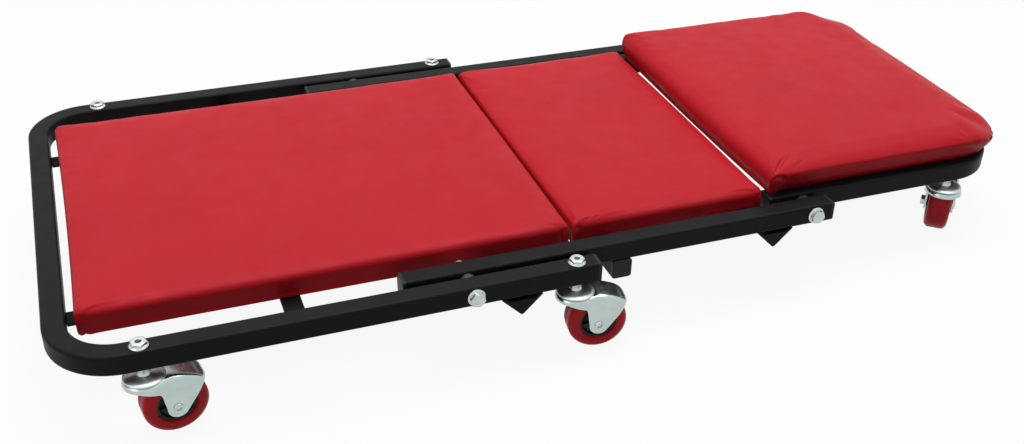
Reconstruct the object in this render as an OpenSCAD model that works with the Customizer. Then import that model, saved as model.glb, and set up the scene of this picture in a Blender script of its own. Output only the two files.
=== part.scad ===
/* [Tube] */
// Side of the square steel tube
tube = 20; // [19:0.1:21]
// Wall of the square tube
tube_wall = 1.5; // [1.2:0.1:2]
// Radius on the tube's long edges
tube_edge_r = 2.5; // [1.5:0.1:3]
// Outside radius of the bends at the foot and head ends
bend_r = 62; // [50:1:70]
// Flange of the plastic plugs in the tube ends
plug_flange = 3; // [2:0.1:3.5]
// How far the plugs reach into the tube
plug_depth = 13; // [8:0.5:14]

/* [Frame] */
// Overall width of the base frame
base_w = 476; // [470:1:490]
// Side gap between one section's rail and the next
rail_gap = 7; // [6.5:0.1:7.5]
// Foot end to the pivot between base and middle
mid_pivot_x = 364; // [360:1:366]
// Base rails past that pivot, to their open end
base_end_len = 119; // [118:0.5:124]
// Pivot to pivot length of the middle section
fold_len = 367; // [360:1:380]
// Middle rails behind their pivot
mid_back_len = 57; // [52:1:58]
// Middle rails past the head pivot
mid_front_len = 18; // [15:0.5:20]
// Head arms behind their pivot
head_back_len = 35; // [30:0.5:37]
// Head pivot to the outside of the head frame's end
head_len = 257; // [245:1:270]
// Head pad past the end of the head frame
head_overhang = 12; // [5:1:15]
// Foot end to the first casters
stem_foot_x = 75; // [70:1:80]
// Open end of the base rails back to their casters
stem_rail_back = 18.5; // [18.5:0.5:20]
// Outside of the head frame's end back to its casters
stem_head_back = 69; // [64:1:74]

/* [Stops] */
// Leg of the angle iron of the stops
stop_leg = 28; // [26:0.5:28]
// Thickness of the angle iron
stop_t = 3; // [2:0.1:4]
// Rounding on the corner of the angle iron
stop_corner_r = 2.5; // [1.5:0.1:3]
// How far the end plate sits below the rail
stop_plate_drop = 3; // [2:0.1:4]
// Play between a stop and the rail that lands on it
stop_play = 0.3; // [0.2:0.05:0.5]

/* [Pad bars] */
// Width of the flat bars that carry the pads
bar_w = 18; // [16:0.5:20]
// Thickness of the flat bars
bar_t = 3; // [2.5:0.1:4]
// Sides of the base and middle pads in to the lengthwise bars
bar_in = 34; // [30:1:40]
// Foot end to the near edge of the base cross bar
base_bar_x = 200; // [190:1:210]
// Lengthwise base bars end short of the pad's end
base_bar_short = 16; // [10:1:30]
// Base pivot to the near side of the middle cross tube
mid_tube_x = 146; // [146:1:150]
// Head pivot back to the middle cross bar
mid_bar_back = 76; // [72:1:85]
// Head pivot to the near edge of each head cross bar
head_bar_xs = [40, 155];

/* [Pads] */
// Middle rails to the sides of the base and middle pads
pad_side_gap = 11; // [10:0.5:15]
// Sides of the head frame in to the sides of its pad
head_pad_in = 1; // [0:0.5:6]
// Height of the base and middle pads at their edge
pad_h = 25.5; // [23:0.5:28]
// Height of the head pad at its edge
head_pad_h = 31; // [28:0.5:34]
// Rise of the base and middle pads in the middle
pad_crown = 2; // [1:0.1:3]
// Rise of the head pad in the middle
head_pad_crown = 3; // [2:0.1:4]
// How far a pad's two ends are drawn in between the corners
end_draw = 2.5; // [1:0.1:3]
// How far a pad's long sides are drawn in between the corners
side_draw = 1; // [0.5:0.1:2]
// Corner radius of the base pad at the foot end
pad_corner_r = 9; // [7:0.5:12]
// Corner radius of the pads where base and middle meet
seam_corner_r = 5; // [4:0.5:8]
// Corner radius of the head pad's end corners
head_corner_r = 60; // [50:1:70]
// Foot tube to the base pad
foot_gap = 5; // [4:0.5:8]
// Base pivot to the seam between base and middle pads
seam_x = 114; // [112:1:116]
// Gap at that seam
seam_gap = 4; // [4:0.1:5]
// Gap from the middle pad to the swing of the head arms
arm_swing_gap = 1.7; // [1:0.1:3]
// Head arm's end to the near side of the head pad
head_pad_back = 1; // [1:0.5:6]
// Thickness of the plywood boards
board_t = 9; // [7:0.5:10]
// Padding around the edge of a board
board_inset = 8; // [6:0.5:12]

/* [Pivots] */
// Pivot bolt
bolt_d = 8; // [7.8:0.1:8.2]
// Flange of the bolts and their nuts
bolt_flange_d = 17; // [15:0.5:18]
// Thickness of the flanges
flange_t = 1.6; // [1.2:0.1:2]
// Size across the flats of bolt heads and nuts
hex_af = 12.7; // [12:0.1:13]
// Height of a bolt head with its flange
head_h = 6.5; // [5:0.1:7]
// Height of a lock nut with its flange
lock_nut_h = 6; // [5:0.1:6.5]
// Bolt end past its nut
bolt_end = 1; // [0.5:0.1:1.2]
// Outside of the spacer sleeves between the rails
spacer_d = 16; // [12:0.5:17]

/* [Casters] */
// Floor to the underside of the frame
caster_h = 72; // [71:0.5:74]
// Wheel
wheel_d = 57; // [55:0.5:57.5]
// Widest part of the tyre
wheel_w = 24; // [22:0.5:24.5]
// Flat of the tread
tread_w = 14; // [8:0.5:15]
// Hub inside the tyre
hub_d = 34; // [30:0.5:38]
// Hub and tyre width where they meet
hub_w = 19; // [16:0.5:20]
// Boss on each side of the hub
boss_d = 13; // [11:0.5:15]
// Stem to axle, along the floor
trail = 21; // [20:0.5:21.5]
// Threaded stem
stem_d = 8; // [7.6:0.1:8.2]
// Flange of the stem nuts
stem_flange_d = 16.6; // [15:0.1:18]
// Height of the stem nuts
stem_nut_h = 5; // [4.5:0.1:6]
// Top of the stem below the top of its nut
stem_sink = 1.2; // [0.8:0.1:2]
// Threaded insert in the head frame, in place of a nut
insert_d = 13; // [12:0.5:15]
// Height of the insert
insert_h = 12; // [10:0.5:14]
// Collar under the frame, its upper half six-sided
collar_h = 8; // [7.8:0.1:8.2]
// Size across the flats of the collar
collar_af = 13; // [12:0.1:14]
// Diameter of the swivel bearing's cup
cup_d = 36; // [34:0.5:36]
// Height of the cup
cup_h = 3.5; // [3.4:0.05:3.6]
// Pressed metal of the cup
cup_t = 1.2; // [1:0.05:1.3]
// Bearing balls
ball_d = 3; // [2.8:0.05:3]
// Ring on which the balls run
ball_ring_d = 24; // [22:0.5:25]
// Balls in each caster
ball_count = 12; // [8:1:16]
// Sheet metal of the fork
sheet = 2; // [1.8:0.05:2]
// Round nose of the fork
nose_d = 38; // [37:0.1:38.5]
// Stem to the back edge of the fork
fork_back = 49; // [46:0.5:49.5]
// Corner radius at the back of the fork, seen from above
fork_corner_r = 8; // [6:0.25:9]
// Radius of the fold between the fork's roof and its legs
fold_r = 3.5; // [2.5:0.1:4]
// Slope of the fork's roof in degrees
roof_tilt = 13; // [10:0.5:15]
// Round end of the fork's legs
leg_end_d = 18.6; // [16:0.1:19]
// Axle
axle_d = 6; // [5:0.1:6.4]
// Rivet end of the axle
rivet_d = 9; // [8:0.1:10]
// Size across the flats of the axle's head
axle_af = 10; // [9:0.1:11]

/* [Hidden] */
$fn = 48;
// Overrun of the cuts
cut = 1;
// Radial play of a shaft that turns in its bore
running_play = 0.05;
// Radial play of a fixed fastener in its hole
hole_play = 0.1;
// Play between faces that slide or turn on each other
face_play = 0.3;
// Air between a soft pad and what is next to it
soft_play = 0.3;
// Play between the balls and the groove that they run in
ball_play = 0.15;
// Depth of that groove in the fork
groove = 1;
// Chamfer on bolt heads and nuts
hex_chamfer = 0.8;

// Heights
rail_bottom = caster_h;
rail_top = caster_h + tube;
pivot_z = caster_h + tube / 2;
bars_top = rail_bottom + bar_t;

// Places along the length, from the foot end
base_len = mid_pivot_x + base_end_len;
head_pivot_x = mid_pivot_x + fold_len;
head_end_x = head_pivot_x + head_len;
overall_len = head_end_x + head_overhang;
seam = mid_pivot_x + seam_x;
base_pad_x0 = tube + foot_gap;
base_pad_x1 = seam - seam_gap / 2;
mid_pad_x0 = seam + seam_gap / 2;
arm_reach = norm([head_back_len + plug_flange, tube / 2]);
mid_pad_x1 = head_pivot_x - arm_reach - arm_swing_gap;
head_pad_x0 = head_pivot_x - head_back_len - plug_flange + head_pad_back;
stem_head_x = head_end_x - stem_head_back;
stem_rail_x = base_len - stem_rail_back;
mid_tube_x0 = mid_pivot_x + mid_tube_x;
mid_bar_x0 = head_pivot_x - mid_bar_back;

// Half widths of the three sections
base_hw = base_w / 2;
mid_hw = base_hw - tube - rail_gap;
head_hw = mid_hw - tube - rail_gap;

// Half widths of the pads, and the centre line to the lengthwise bars
pad_half_w = mid_hw - tube - pad_side_gap;
head_pad_half_w = head_hw - head_pad_in;
bar_y = pad_half_w - bar_in;

// Each stop's near corner lets the rail turn 135 degrees
stop_half = stop_leg / sqrt(2);
stop_near = tube / 2 + sqrt(2) * (tube / 2 + stop_play);

// Casters of the front side: stem's place along the length, distance from the
// centre line, and heading in degrees, where 0 trails towards the head
foot_caster = [stem_foot_x, base_hw - tube / 2, 9.5];
rail_caster = [stem_rail_x, base_hw - tube / 2, -8.6];
head_caster = [stem_head_x, head_hw - tube / 2, 50];
front = 0;
rear = 1;

// Fork, axle and wheel
wheel_r = wheel_d / 2;
nose_r = nose_d / 2;
disc_top = caster_h - collar_h - cup_h - face_play;
ball_z = disc_top - groove + ball_play + ball_d / 2;
// Air between the top of the tyre and the fork's roof
roof_gap = 2.2;
roof_z = wheel_d + roof_gap + sheet;
// Back edge of the roof below its highest point
back_drop = 12;
// Air between the tyre and each leg
leg_gap = 1.5;
fork_half_w = wheel_w / 2 + leg_gap + sheet;
// Depth of the fork's skirt round the nose
skirt_h = 5;
// Depth of the skirt where the legs start
skirt_root_h = 11;
// Stem to where the legs start
leg_root_x = 7.6;
// Angles of a leg's front and back edge
leg_front_a = 98;
leg_back_a = 54;
rivet_h = 1.6;
rivet_dimple_d = 4;
axle_head_h = 4;
// Head of the king pin that holds the fork on its stem
king_head_d = 13;
king_head_h = 2;
king_z = disc_top - sheet - face_play - king_head_h;

// Screws that hold the boards
screw_d = 5;
screw_head_d = 11;
screw_head_h = 3.5;
screw_bite = 7.5;
screw_inset = 40;

// Pad outline: arc steps in a corner and points along a side
corner_steps = 5;
side_steps = 7;
crown_rings = 4;
// Side profile of a pad, as shares of its edge height and of its edge inset
side_h_shares = [0, 0.06, 0.24, 0.5, 0.72, 0.88, 0.97, 1];
side_in_shares = [0.34, 0.08, 0, 0.02, 0.14, 0.4, 0.72, 1];
// The same for the head pad, whose sides slope more
head_in_shares = [0.2, 0.04, 0, 0.12, 0.34, 0.58, 0.8, 1];
// Inset of a pad's top edge from its widest outline
pad_edge_in = 7;
head_edge_in = 26;
// Corner radius of the head pad's near corners
head_near_r = 10;

// Points of an arc from angle a to angle b
function arc(c, r, a, b, n) =
    [for (i = [0:n]) c + r * [cos(a + (b - a) * i / n), sin(a + (b - a) * i / n)]];

// Points of a smooth curve from p to r that leans towards q
function curve(p, q, r, n) =
    [for (i = [0:n]) let (t = i / n) (1 - t) * (1 - t) * p + 2 * t * (1 - t) * q + t * t * r];

// Outline of a square tube with rounded edges
function tube_outline(side, r) =
    let (h = side / 2 - r)
    concat(arc([h, h], r, 0, 90, 3), arc([-h, h], r, 90, 180, 3),
        arc([-h, -h], r, 180, 270, 3), arc([h, -h], r, 270, 360, 3));

// Straight bar of tube section along X
module tube_bar(side, r, x0, x1, y, z) {
    translate([x0, y, z]) rotate([90, 0, 90]) linear_extrude(x1 - x0) polygon(tube_outline(side, r));
}

// One bend of tube section, from angle a, a quarter turn
module tube_bend(side, r, cx, cy, z, a) {
    translate([cx, cy, z]) rotate([0, 0, a])
        rotate_extrude(angle = 90, $fn = 96)
            translate([bend_r - tube / 2, 0]) polygon(tube_outline(side, r));
}

// Solid bar bent to a U, closed at x = 0 and open at x = len
module u_bar(side, r, len, hw) {
    y = hw - tube / 2;
    for (s = [-1, 1]) tube_bar(side, r, bend_r, len, s * y, 0);
    tube_bend(side, r, bend_r, hw - bend_r, 0, 90);
    tube_bend(side, r, bend_r, bend_r - hw, 0, 180);
    translate([tube / 2, hw - bend_r, 0]) rotate([90, 0, 0])
        linear_extrude(2 * (hw - bend_r)) polygon(tube_outline(side, r));
}

// Hollow U of square tube
module u_tube(len, hw) {
    difference() {
        u_bar(tube, tube_edge_r, len, hw);
        u_bar(tube - 2 * tube_wall, tube_edge_r - tube_wall / 2, len + cut, hw);
    }
}

// Hollow straight tube along X
module straight_tube(x0, x1, y, z) {
    difference() {
        tube_bar(tube, tube_edge_r, x0, x1, y, z);
        tube_bar(tube - 2 * tube_wall, tube_edge_r - tube_wall / 2, x0 - cut, x1 + cut, y, z);
    }
}

// Square plug for a tube end at the origin that faces +X
module tube_plug() {
    tube_bar(tube, tube_edge_r, 0, plug_flange, 0, 0);
    tube_bar(tube - 2 * tube_wall - 2 * hole_play, tube_edge_r - tube_wall / 2, -plug_depth, 0, 0, 0);
}

// Cross hole for a pivot bolt through both rails of a section
module pivot_holes(x, hw, play) {
    for (s = [-1, 1]) translate([x, s * (hw - tube / 2), pivot_z]) rotate([90, 0, 0])
        cylinder(d = bolt_d + 2 * play, h = tube + 2 * cut, center = true);
}

// Upright hole of height h for the caster stem in both rails
module stem_holes(x, hw, h) {
    for (s = [-1, 1]) translate([x, s * (hw - tube / 2), rail_bottom - cut])
        cylinder(d = stem_d + 2 * hole_play, h = h + 2 * cut);
}

// Six-sided block with its far corners chamfered
module hex_block(af, h) {
    d = af / cos(30);
    intersection() {
        cylinder(d = d, h = h, $fn = 6);
        cylinder(d1 = d + 2 * h - 2 * hex_chamfer, d2 = d - 2 * hex_chamfer, h = h);
    }
}

// Flanged bolt head or nut without its bore, standing on the origin
module flanged_hex(flange_d, h) {
    cylinder(d1 = flange_d, d2 = flange_d - flange_t, h = flange_t);
    translate([0, 0, flange_t]) hex_block(hex_af, h - flange_t);
}

// Angle iron stop with its corner down, along Y from y0 to y1, centred on x
module stop_bracket(x, y0, y1, seat0, seat1) {
    t = stop_t * sqrt(2);
    h = stop_half;
    r = stop_corner_r;
    // The plate closes the V at its outer end, slightly lower than the rail
    plate_h = h - stop_plate_drop;
    difference() {
        union() {
            translate([x, y1, rail_bottom]) rotate([90, 0, 0]) linear_extrude(y1 - y0)
                polygon(concat([[h, 0], [h - t, 0], [0, t - h], [t - h, 0], [-h, 0]],
                    arc([0, r * sqrt(2) - h], r, 225, 315, 4)));
            for (s = [-1, 1]) if (s < 0 ? y0 < 0 : y0 > 0)
                translate([x, s < 0 ? y0 + stop_t : y1, rail_bottom]) rotate([90, 0, 0])
                    linear_extrude(stop_t)
                        polygon([[plate_h, -stop_plate_drop], [0, -h + r], [-plate_h, -stop_plate_drop]]);
        }
        // Seat for the moving rail
        translate([x - h - cut, seat0, rail_bottom - stop_play])
            cube([2 * (h + cut), seat1 - seat0, stop_play + cut]);
    }
}

// Pair of stops under the rails of a section, dir is +1 towards the head
module stop_pair(pivot_x, dir, hw) {
    inner = hw - 2 * tube - rail_gap;
    seat = hw - tube - rail_gap + face_play;
    x = pivot_x + dir * (stop_near + stop_half);
    stop_bracket(x, -hw, -inner, -seat, cut - inner);
    stop_bracket(x, inner, hw, inner - cut, seat);
}

// Bolt through one rail, the gap and the next rail, its head at the outer face
module pivot_bolt(hw) {
    reach = 2 * tube + rail_gap + face_play + lock_nut_h + bolt_end;
    rotate([90, 0, 0]) {
        flanged_hex(bolt_flange_d, head_h);
        translate([0, 0, -reach]) cylinder(d = bolt_d, h = reach);
    }
}

// Both bolts of one pivot, hw is the outer section's half width
module pivot_bolts(x, hw) {
    for (s = [0, 1]) mirror([0, s, 0]) translate([x, -hw, pivot_z]) pivot_bolt(hw);
}

// Lock nuts on the inner rail's inner face
module pivot_nuts(x, hw) {
    y = hw - 2 * tube - rail_gap - face_play;
    for (s = [0, 1]) mirror([0, s, 0]) translate([x, -y, pivot_z]) rotate([-90, 0, 0])
        difference() {
            flanged_hex(bolt_flange_d, lock_nut_h);
            translate([0, 0, -cut]) cylinder(d = bolt_d + 2 * running_play, h = lock_nut_h + 2 * cut);
        }
}

// Spacer sleeves that fill the gap between the rails
module pivot_spacers(x, hw) {
    for (s = [0, 1]) mirror([0, s, 0]) translate([x, tube - hw, pivot_z]) rotate([-90, 0, 0])
        difference() {
            cylinder(d = spacer_d, h = rail_gap - face_play);
            translate([0, 0, -cut]) cylinder(d = bolt_d + 2 * hole_play, h = rail_gap + 2 * cut);
        }
}

// Flat bar lying in X and Y, with its screw holes
module flat_bar(x0, x1, y0, y1, z, holes) {
    difference() {
        translate([x0, y0, z]) cube([x1 - x0, y1 - y0, bar_t]);
        for (p = holes) translate([p[0], p[1], z - cut])
            cylinder(d = screw_d + 2 * hole_play, h = bar_t + 2 * cut);
    }
}

// Washer-head screws up through a bar into a board, z is the bar's underside
module board_screws(places, z) {
    for (p = places) translate([p[0], p[1], z]) {
        translate([0, 0, -screw_head_h]) cylinder(d = screw_head_d, h = screw_head_h);
        cylinder(d = screw_d, h = bar_t + screw_bite);
    }
}

// Plywood board with pilot holes; ra and rb are the pad's near and far corner radii
module board(x0, x1, hw, ra, rb, z, places) {
    difference() {
        translate([0, 0, z]) linear_extrude(board_t) board_plan(x0, x1, hw, ra, rb, board_inset);
        for (p = places) translate([p[0], p[1], z - cut]) cylinder(d = screw_d, h = screw_bite + cut);
    }
}

// Outline of the board, or of its pocket in the pad
module board_plan(x0, x1, hw, ra, rb, inset) {
    polygon(plan(x0 + inset, x1 - inset, hw - inset, inner_r(ra, inset), inner_r(rb, inset), [0, 0]));
}

// Radius of a corner after an inset, never quite sharp
function inner_r(r, inset) = max(r - inset, r / 4);

// Rounded rectangle seen from above; ra and rb are its near and far corner radii,
// and d says how far its ends and its sides are drawn in between the corners
function plan(x0, x1, hw, ra, rb, d) =
    concat(
        arc([x1 - rb, rb - hw], rb, -90, 0, corner_steps),
        [for (i = [1:side_steps]) [x1 - d[0] * bow(i), run(rb - hw, hw - rb, i)]],
        arc([x1 - rb, hw - rb], rb, 0, 90, corner_steps),
        [for (i = [1:side_steps]) [run(x1 - rb, x0 + ra, i), hw - d[1] * bow(i)]],
        arc([x0 + ra, hw - ra], ra, 90, 180, corner_steps),
        [for (i = [1:side_steps]) [x0 + d[0] * bow(i), run(hw - ra, ra - hw, i)]],
        arc([x0 + ra, ra - hw], ra, 180, 270, corner_steps),
        [for (i = [1:side_steps]) [run(x0 + ra, x1 - rb, i), d[1] * bow(i) - hw]]
    );

// Share of the draw at point i of a side, full in its middle
function bow(i) = sin(180 * i / (side_steps + 1));

// Place of point i on the way from a to b
function run(a, b, i) = a + (b - a) * i / (side_steps + 1);

// Crowned cushion with its underside at z; ra and rb are its near and far corner radii
module cushion(x0, x1, hw, ra, rb, z, h, edge_in, in_shares, crown) {
    draw = [end_draw, side_draw];
    mid_x = (x0 + x1) / 2;
    n = len(plan(x0, x1, hw, ra, rb, draw));
    sides = [for (k = [0:len(side_h_shares) - 1])
        let (e = edge_in * in_shares[k])
        [for (p = plan(x0 + e, x1 - e, hw - e, inner_r(ra, e), inner_r(rb, e), draw))
            [p[0], p[1], z + h * side_h_shares[k]]]];
    edge = sides[len(sides) - 1];
    top = [for (k = [1:crown_rings - 1])
        let (s = 1 - k / crown_rings)
        [for (p = edge) [mid_x + s * (p[0] - mid_x), s * p[1], z + h + crown * (1 - s * s)]]];
    rings = concat(sides, top);
    m = len(rings);
    points = concat([for (q = rings) for (p = q) p], [[mid_x, 0, z], [mid_x, 0, z + h + crown]]);
    faces = concat(
        [for (k = [0:m - 2]) for (i = [0:n - 1]) let (j = (i + 1) % n)
            [k * n + i, (k + 1) * n + i, (k + 1) * n + j]],
        [for (k = [0:m - 2]) for (i = [0:n - 1]) let (j = (i + 1) % n)
            [k * n + i, (k + 1) * n + j, k * n + j]],
        [for (i = [0:n - 1]) [m * n, i, (i + 1) % n]],
        [for (i = [0:n - 1]) [m * n + 1, (m - 1) * n + (i + 1) % n, (m - 1) * n + i]]);
    polyhedron(points, faces, convexity = 4);
}

// Cushion with a pocket in its underside for the board
module pad(x0, x1, hw, ra, rb, z, h, edge_in, in_shares, crown) {
    difference() {
        cushion(x0, x1, hw, ra, rb, z + soft_play, h, edge_in, in_shares, crown);
        translate([0, 0, z - cut]) linear_extrude(board_t + soft_play + cut)
            board_plan(x0, x1, hw, ra, rb, board_inset - soft_play);
    }
}

// Screw places of each board
base_screws = [for (x = [base_pad_x0 + screw_inset, base_bar_x - screw_inset,
    base_bar_x + bar_w + screw_inset, base_pad_x1 - screw_inset])
    for (s = [-1, 1]) [x, s * bar_y]];
mid_screws = [for (x = [mid_tube_x0 + tube + screw_inset / 2, mid_bar_x0 - screw_inset / 2])
    for (s = [-1, 1]) [x, s * bar_y]];
head_screws = [for (x = head_bar_xs) for (s = [-1, 1])
    [head_pivot_x + x + bar_w / 2, s * (head_hw - tube - screw_inset)]];

// Stem with its collar and king pin, origin on the floor under it
module stem(top) {
    flat_z = caster_h - collar_h / 2;
    translate([0, 0, king_z]) cylinder(d = stem_d, h = top - king_z);
    translate([0, 0, flat_z]) cylinder(d = collar_af / cos(30), h = collar_h / 2, $fn = 6);
    translate([0, 0, caster_h - collar_h])
        cylinder(d1 = collar_af + collar_h / 2, d2 = collar_af, h = collar_h / 2);
    translate([0, 0, king_z]) cylinder(d = king_head_d, h = king_head_h);
}

// Flanged nut on top of the frame
module stem_nut() {
    translate([0, 0, rail_top]) difference() {
        flanged_hex(stem_flange_d, stem_nut_h);
        translate([0, 0, -cut]) cylinder(d = stem_d + 2 * running_play, h = stem_nut_h + 2 * cut);
    }
}

// Threaded insert on the tube's inner floor
module insert() {
    translate([0, 0, rail_bottom + tube_wall]) difference() {
        cylinder(d = insert_d, h = insert_h);
        translate([0, 0, -cut]) cylinder(d = stem_d + 2 * running_play, h = insert_h + 2 * cut);
    }
}

// Domed upper cup of the swivel bearing
module cup() {
    r = cup_d / 2;
    top = caster_h - collar_h;
    low = top - cup_h;
    bore = stem_d / 2 + hole_play;
    shoulder = collar_af / 2 + cup_t;
    rotate_extrude() polygon(concat(
        [[bore, top]],
        curve([shoulder, top], [r - cup_t, top], [r, low + cup_h / 2], 5),
        [[r, low], [r - cup_t, low]],
        curve([r - cup_t, low + cup_t], [r - cup_t, top - cup_t], [shoulder, top - cup_t], 4),
        [[bore, top - cup_t]]));
}

// Ring of bearing balls under the cup
module balls() {
    for (i = [0:ball_count - 1]) rotate([0, 0, 360 * i / ball_count])
        translate([ball_ring_d / 2, 0, ball_z]) sphere(d = ball_d, $fn = 24);
}

// Round nose of the fork, shrunk by the inset i
module fork_nose(i) {
    r = nose_r - i;
    top = disc_top - i;
    low = wheel_r - leg_end_d - i;
    k = max(sheet - i, sheet / 4);
    rotate_extrude() polygon(concat([[0, top], [0, low], [r, low]], arc([r - k, top - k], k, 0, 90, 3)));
}

// Straight body over the wheel, shrunk by the inset i
module fork_body(i) {
    w = fork_half_w - i;
    back = fork_back - i;
    top = roof_z - i;
    low = wheel_r - leg_end_d - i;
    corner = max(fork_corner_r - i, fork_corner_r / 4);
    fold = max(fold_r - i, fold_r / 4);
    intersection() {
        // Seen from above
        translate([0, 0, low]) linear_extrude(roof_z + fork_back) polygon(concat([[0, w], [0, -w]],
            arc([back - corner, corner - w], corner, -90, 0, 4),
            arc([back - corner, w - corner], corner, 0, 90, 4)));
        // Seen from the side, with the back edge curved down
        translate([0, fork_back, 0]) rotate([90, 0, 0]) linear_extrude(2 * fork_back)
            polygon(concat([[0, low], [0, top + cut]],
                curve([trail / 2, top + cut], [back - back_drop, top], [back, roof_z - back_drop - i], 6),
                [[back, low]]));
        // Seen from behind, with folded edges and a sloping roof
        translate([trail, 0, top]) rotate([0, roof_tilt, 0]) translate([-fork_back, 0, 0])
            rotate([90, 0, 90]) linear_extrude(2 * fork_back) polygon(concat(
                [[-w, -2 * roof_z], [w, -2 * roof_z]], arc([w - fold, -fold], fold, 0, 90, 4),
                arc([fold - w, -fold], fold, 90, 180, 4)));
    }
}

// Nose and body together, shrunk by the inset i
module fork_solid(i) {
    fork_nose(i);
    difference() {
        fork_body(i);
        translate([0, 0, disc_top - i]) cylinder(r = nose_r + face_play + i, h = roof_z);
    }
}

// Side outline of the fork, with the curved skirt and the pointed legs
module fork_side() {
    r = leg_end_d / 2;
    axle = [trail, wheel_r];
    skirt = disc_top - skirt_h;
    root = [leg_root_x, disc_top - skirt_root_h];
    front = axle + r * [cos(90 + leg_front_a), sin(90 + leg_front_a)];
    back = axle + r * [cos(270 + leg_back_a), sin(270 + leg_back_a)];
    past = fork_back + cut;
    top = roof_z + fork_back;
    polygon(concat(
        [[-nose_r - cut, top], [-nose_r - cut, skirt], [-nose_r / 2, skirt]],
        curve(root, root + [r / 4, 0], (root + front) / 2 + [-r / 8, 0], 4),
        arc(axle, r, 90 + leg_front_a, 270 + leg_back_a, 12),
        [[past, back[1] + (past - back[0]) * tan(leg_back_a)], [past, top]]));
}

// Pressed fork, origin on the floor under the stem, heading along X
module fork() {
    difference() {
        intersection() {
            fork_solid(0);
            translate([0, fork_back, 0]) rotate([90, 0, 0]) linear_extrude(2 * fork_back) fork_side();
        }
        fork_solid(sheet);
        rotate_extrude() translate([ball_ring_d / 2, ball_z]) circle(d = ball_d + 2 * ball_play);
        cylinder(d = stem_d + 2 * running_play, h = roof_z + cut);
        translate([trail, 0, wheel_r]) rotate([90, 0, 0])
            cylinder(d = axle_d + 2 * hole_play, h = 2 * fork_half_w + 2 * cut, center = true);
    }
}

// Riveted axle across the fork
module axle() {
    span = fork_half_w;
    translate([trail, 0, wheel_r]) rotate([90, 0, 0]) {
        translate([0, 0, -span]) cylinder(d = axle_d, h = 2 * span);
        translate([0, 0, span]) difference() {
            cylinder(d1 = rivet_d, d2 = rivet_d - rivet_h, h = rivet_h);
            translate([0, 0, rivet_h / 2]) cylinder(d1 = 0, d2 = rivet_dimple_d, h = rivet_h);
        }
        translate([0, 0, -span - axle_head_h]) mirror([0, 0, 1]) translate([0, 0, -axle_head_h])
            hex_block(axle_af, axle_head_h);
    }
}

// Moulded hub with a bore, bosses and a dished face on each side
module hub() {
    r = hub_d / 2;
    w = hub_w / 2;
    rim = 2.5;
    dish = 4;
    boss = boss_d / 2;
    boss_w = wheel_w / 2 + leg_gap - face_play;
    bore = axle_d / 2 + running_play;
    half = [[bore, boss_w], [boss - rim / 2, boss_w], [boss, boss_w - rim / 2], [boss, w - dish],
        [r - rim, w - dish], [r - rim / 2, w], [r, w]];
    last = len(half) - 1;
    translate([trail, 0, wheel_r]) rotate([90, 0, 0]) rotate_extrude()
        polygon(concat(half, [for (i = [last:-1:0]) [half[i][0], -half[i][1]]]));
}

// Cast tyre with a flat tread and rounded shoulders
module tyre() {
    r = hub_d / 2;
    side_r = (hub_d + wheel_d) / 4;
    shoulder = 4;
    half = concat([[r, hub_w / 2], [r + shoulder / 4, wheel_w / 2]], [[side_r, wheel_w / 2]],
        curve([wheel_r - shoulder, wheel_w / 2 - shoulder / 4], [wheel_r, tread_w / 2 + shoulder / 2],
            [wheel_r, tread_w / 2], 4));
    last = len(half) - 1;
    translate([trail, 0, wheel_r]) rotate([90, 0, 0]) rotate_extrude()
        polygon(concat(half, [for (i = [last:-1:0]) [half[i][0], -half[i][1]]]));
}

// Puts its children at a caster's stem, turned to its heading; side is front or rear
module at_caster(c, side) {
    mirror([0, side, 0]) translate([c[0], -c[1], 0]) rotate([0, 0, c[2]]) children();
}

// Puts its children at both stems of each caster in a list
module at_stems(list) {
    for (c = list) for (side = [front, rear]) mirror([0, side, 0]) translate([c[0], -c[1], 0]) children();
}

// Moves a part from the foot end's frame to the middle of the whole
module placed() {
    translate([-overall_len / 2, 0, 0]) children();
}

powder_black = [0.09, 0.09, 0.1];
plug_black = [0.05, 0.05, 0.05];
zinc = [0.72, 0.76, 0.78];
vinyl_red = [0.75, 0.08, 0.1];
wheel_red = [0.62, 0.06, 0.1];
plywood = [0.72, 0.56, 0.36];

module base_frame_tube() {
    color(powder_black) difference() {
        translate([0, 0, pivot_z]) u_tube(base_len, base_hw);
        stem_holes(stem_foot_x, base_hw, tube);
        stem_holes(stem_rail_x, base_hw, tube);
        pivot_holes(mid_pivot_x, base_hw, hole_play);
    }
}
module base_rail_plugs() {
    color(plug_black) for (s = [-1, 1])
        translate([base_len, s * (base_hw - tube / 2), pivot_z]) tube_plug();
}
module base_pad_bars() {
    y0 = bar_y - bar_w / 2;
    y1 = bar_y + bar_w / 2;
    color(powder_black) {
        flat_bar(base_bar_x, base_bar_x + bar_w, tube - base_hw, base_hw - tube, rail_bottom, []);
        for (s = [0, 1]) mirror([0, s, 0]) {
            flat_bar(tube, base_bar_x, y0, y1, rail_bottom, base_screws);
            flat_bar(base_bar_x + bar_w, base_pad_x1 - base_bar_short, y0, y1, rail_bottom, base_screws);
        }
    }
}
module base_stop_brackets() {
    color(powder_black) stop_pair(mid_pivot_x, 1, base_hw);
}
module base_pad_board() {
    color(plywood) board(base_pad_x0, base_pad_x1, pad_half_w, pad_corner_r, seam_corner_r,
        bars_top, base_screws);
}
module base_pad() {
    color(vinyl_red) pad(base_pad_x0, base_pad_x1, pad_half_w, pad_corner_r, seam_corner_r,
        bars_top, pad_h, pad_edge_in, side_in_shares, pad_crown);
}
module base_pad_screws() {
    color(zinc) board_screws(base_screws, rail_bottom);
}
module base_pivot_bolts() {
    color(zinc) pivot_bolts(mid_pivot_x, base_hw);
}
module base_pivot_nuts() {
    color(zinc) pivot_nuts(mid_pivot_x, base_hw);
}
module base_pivot_spacers() {
    color(plug_black) pivot_spacers(mid_pivot_x, base_hw);
}
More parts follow.
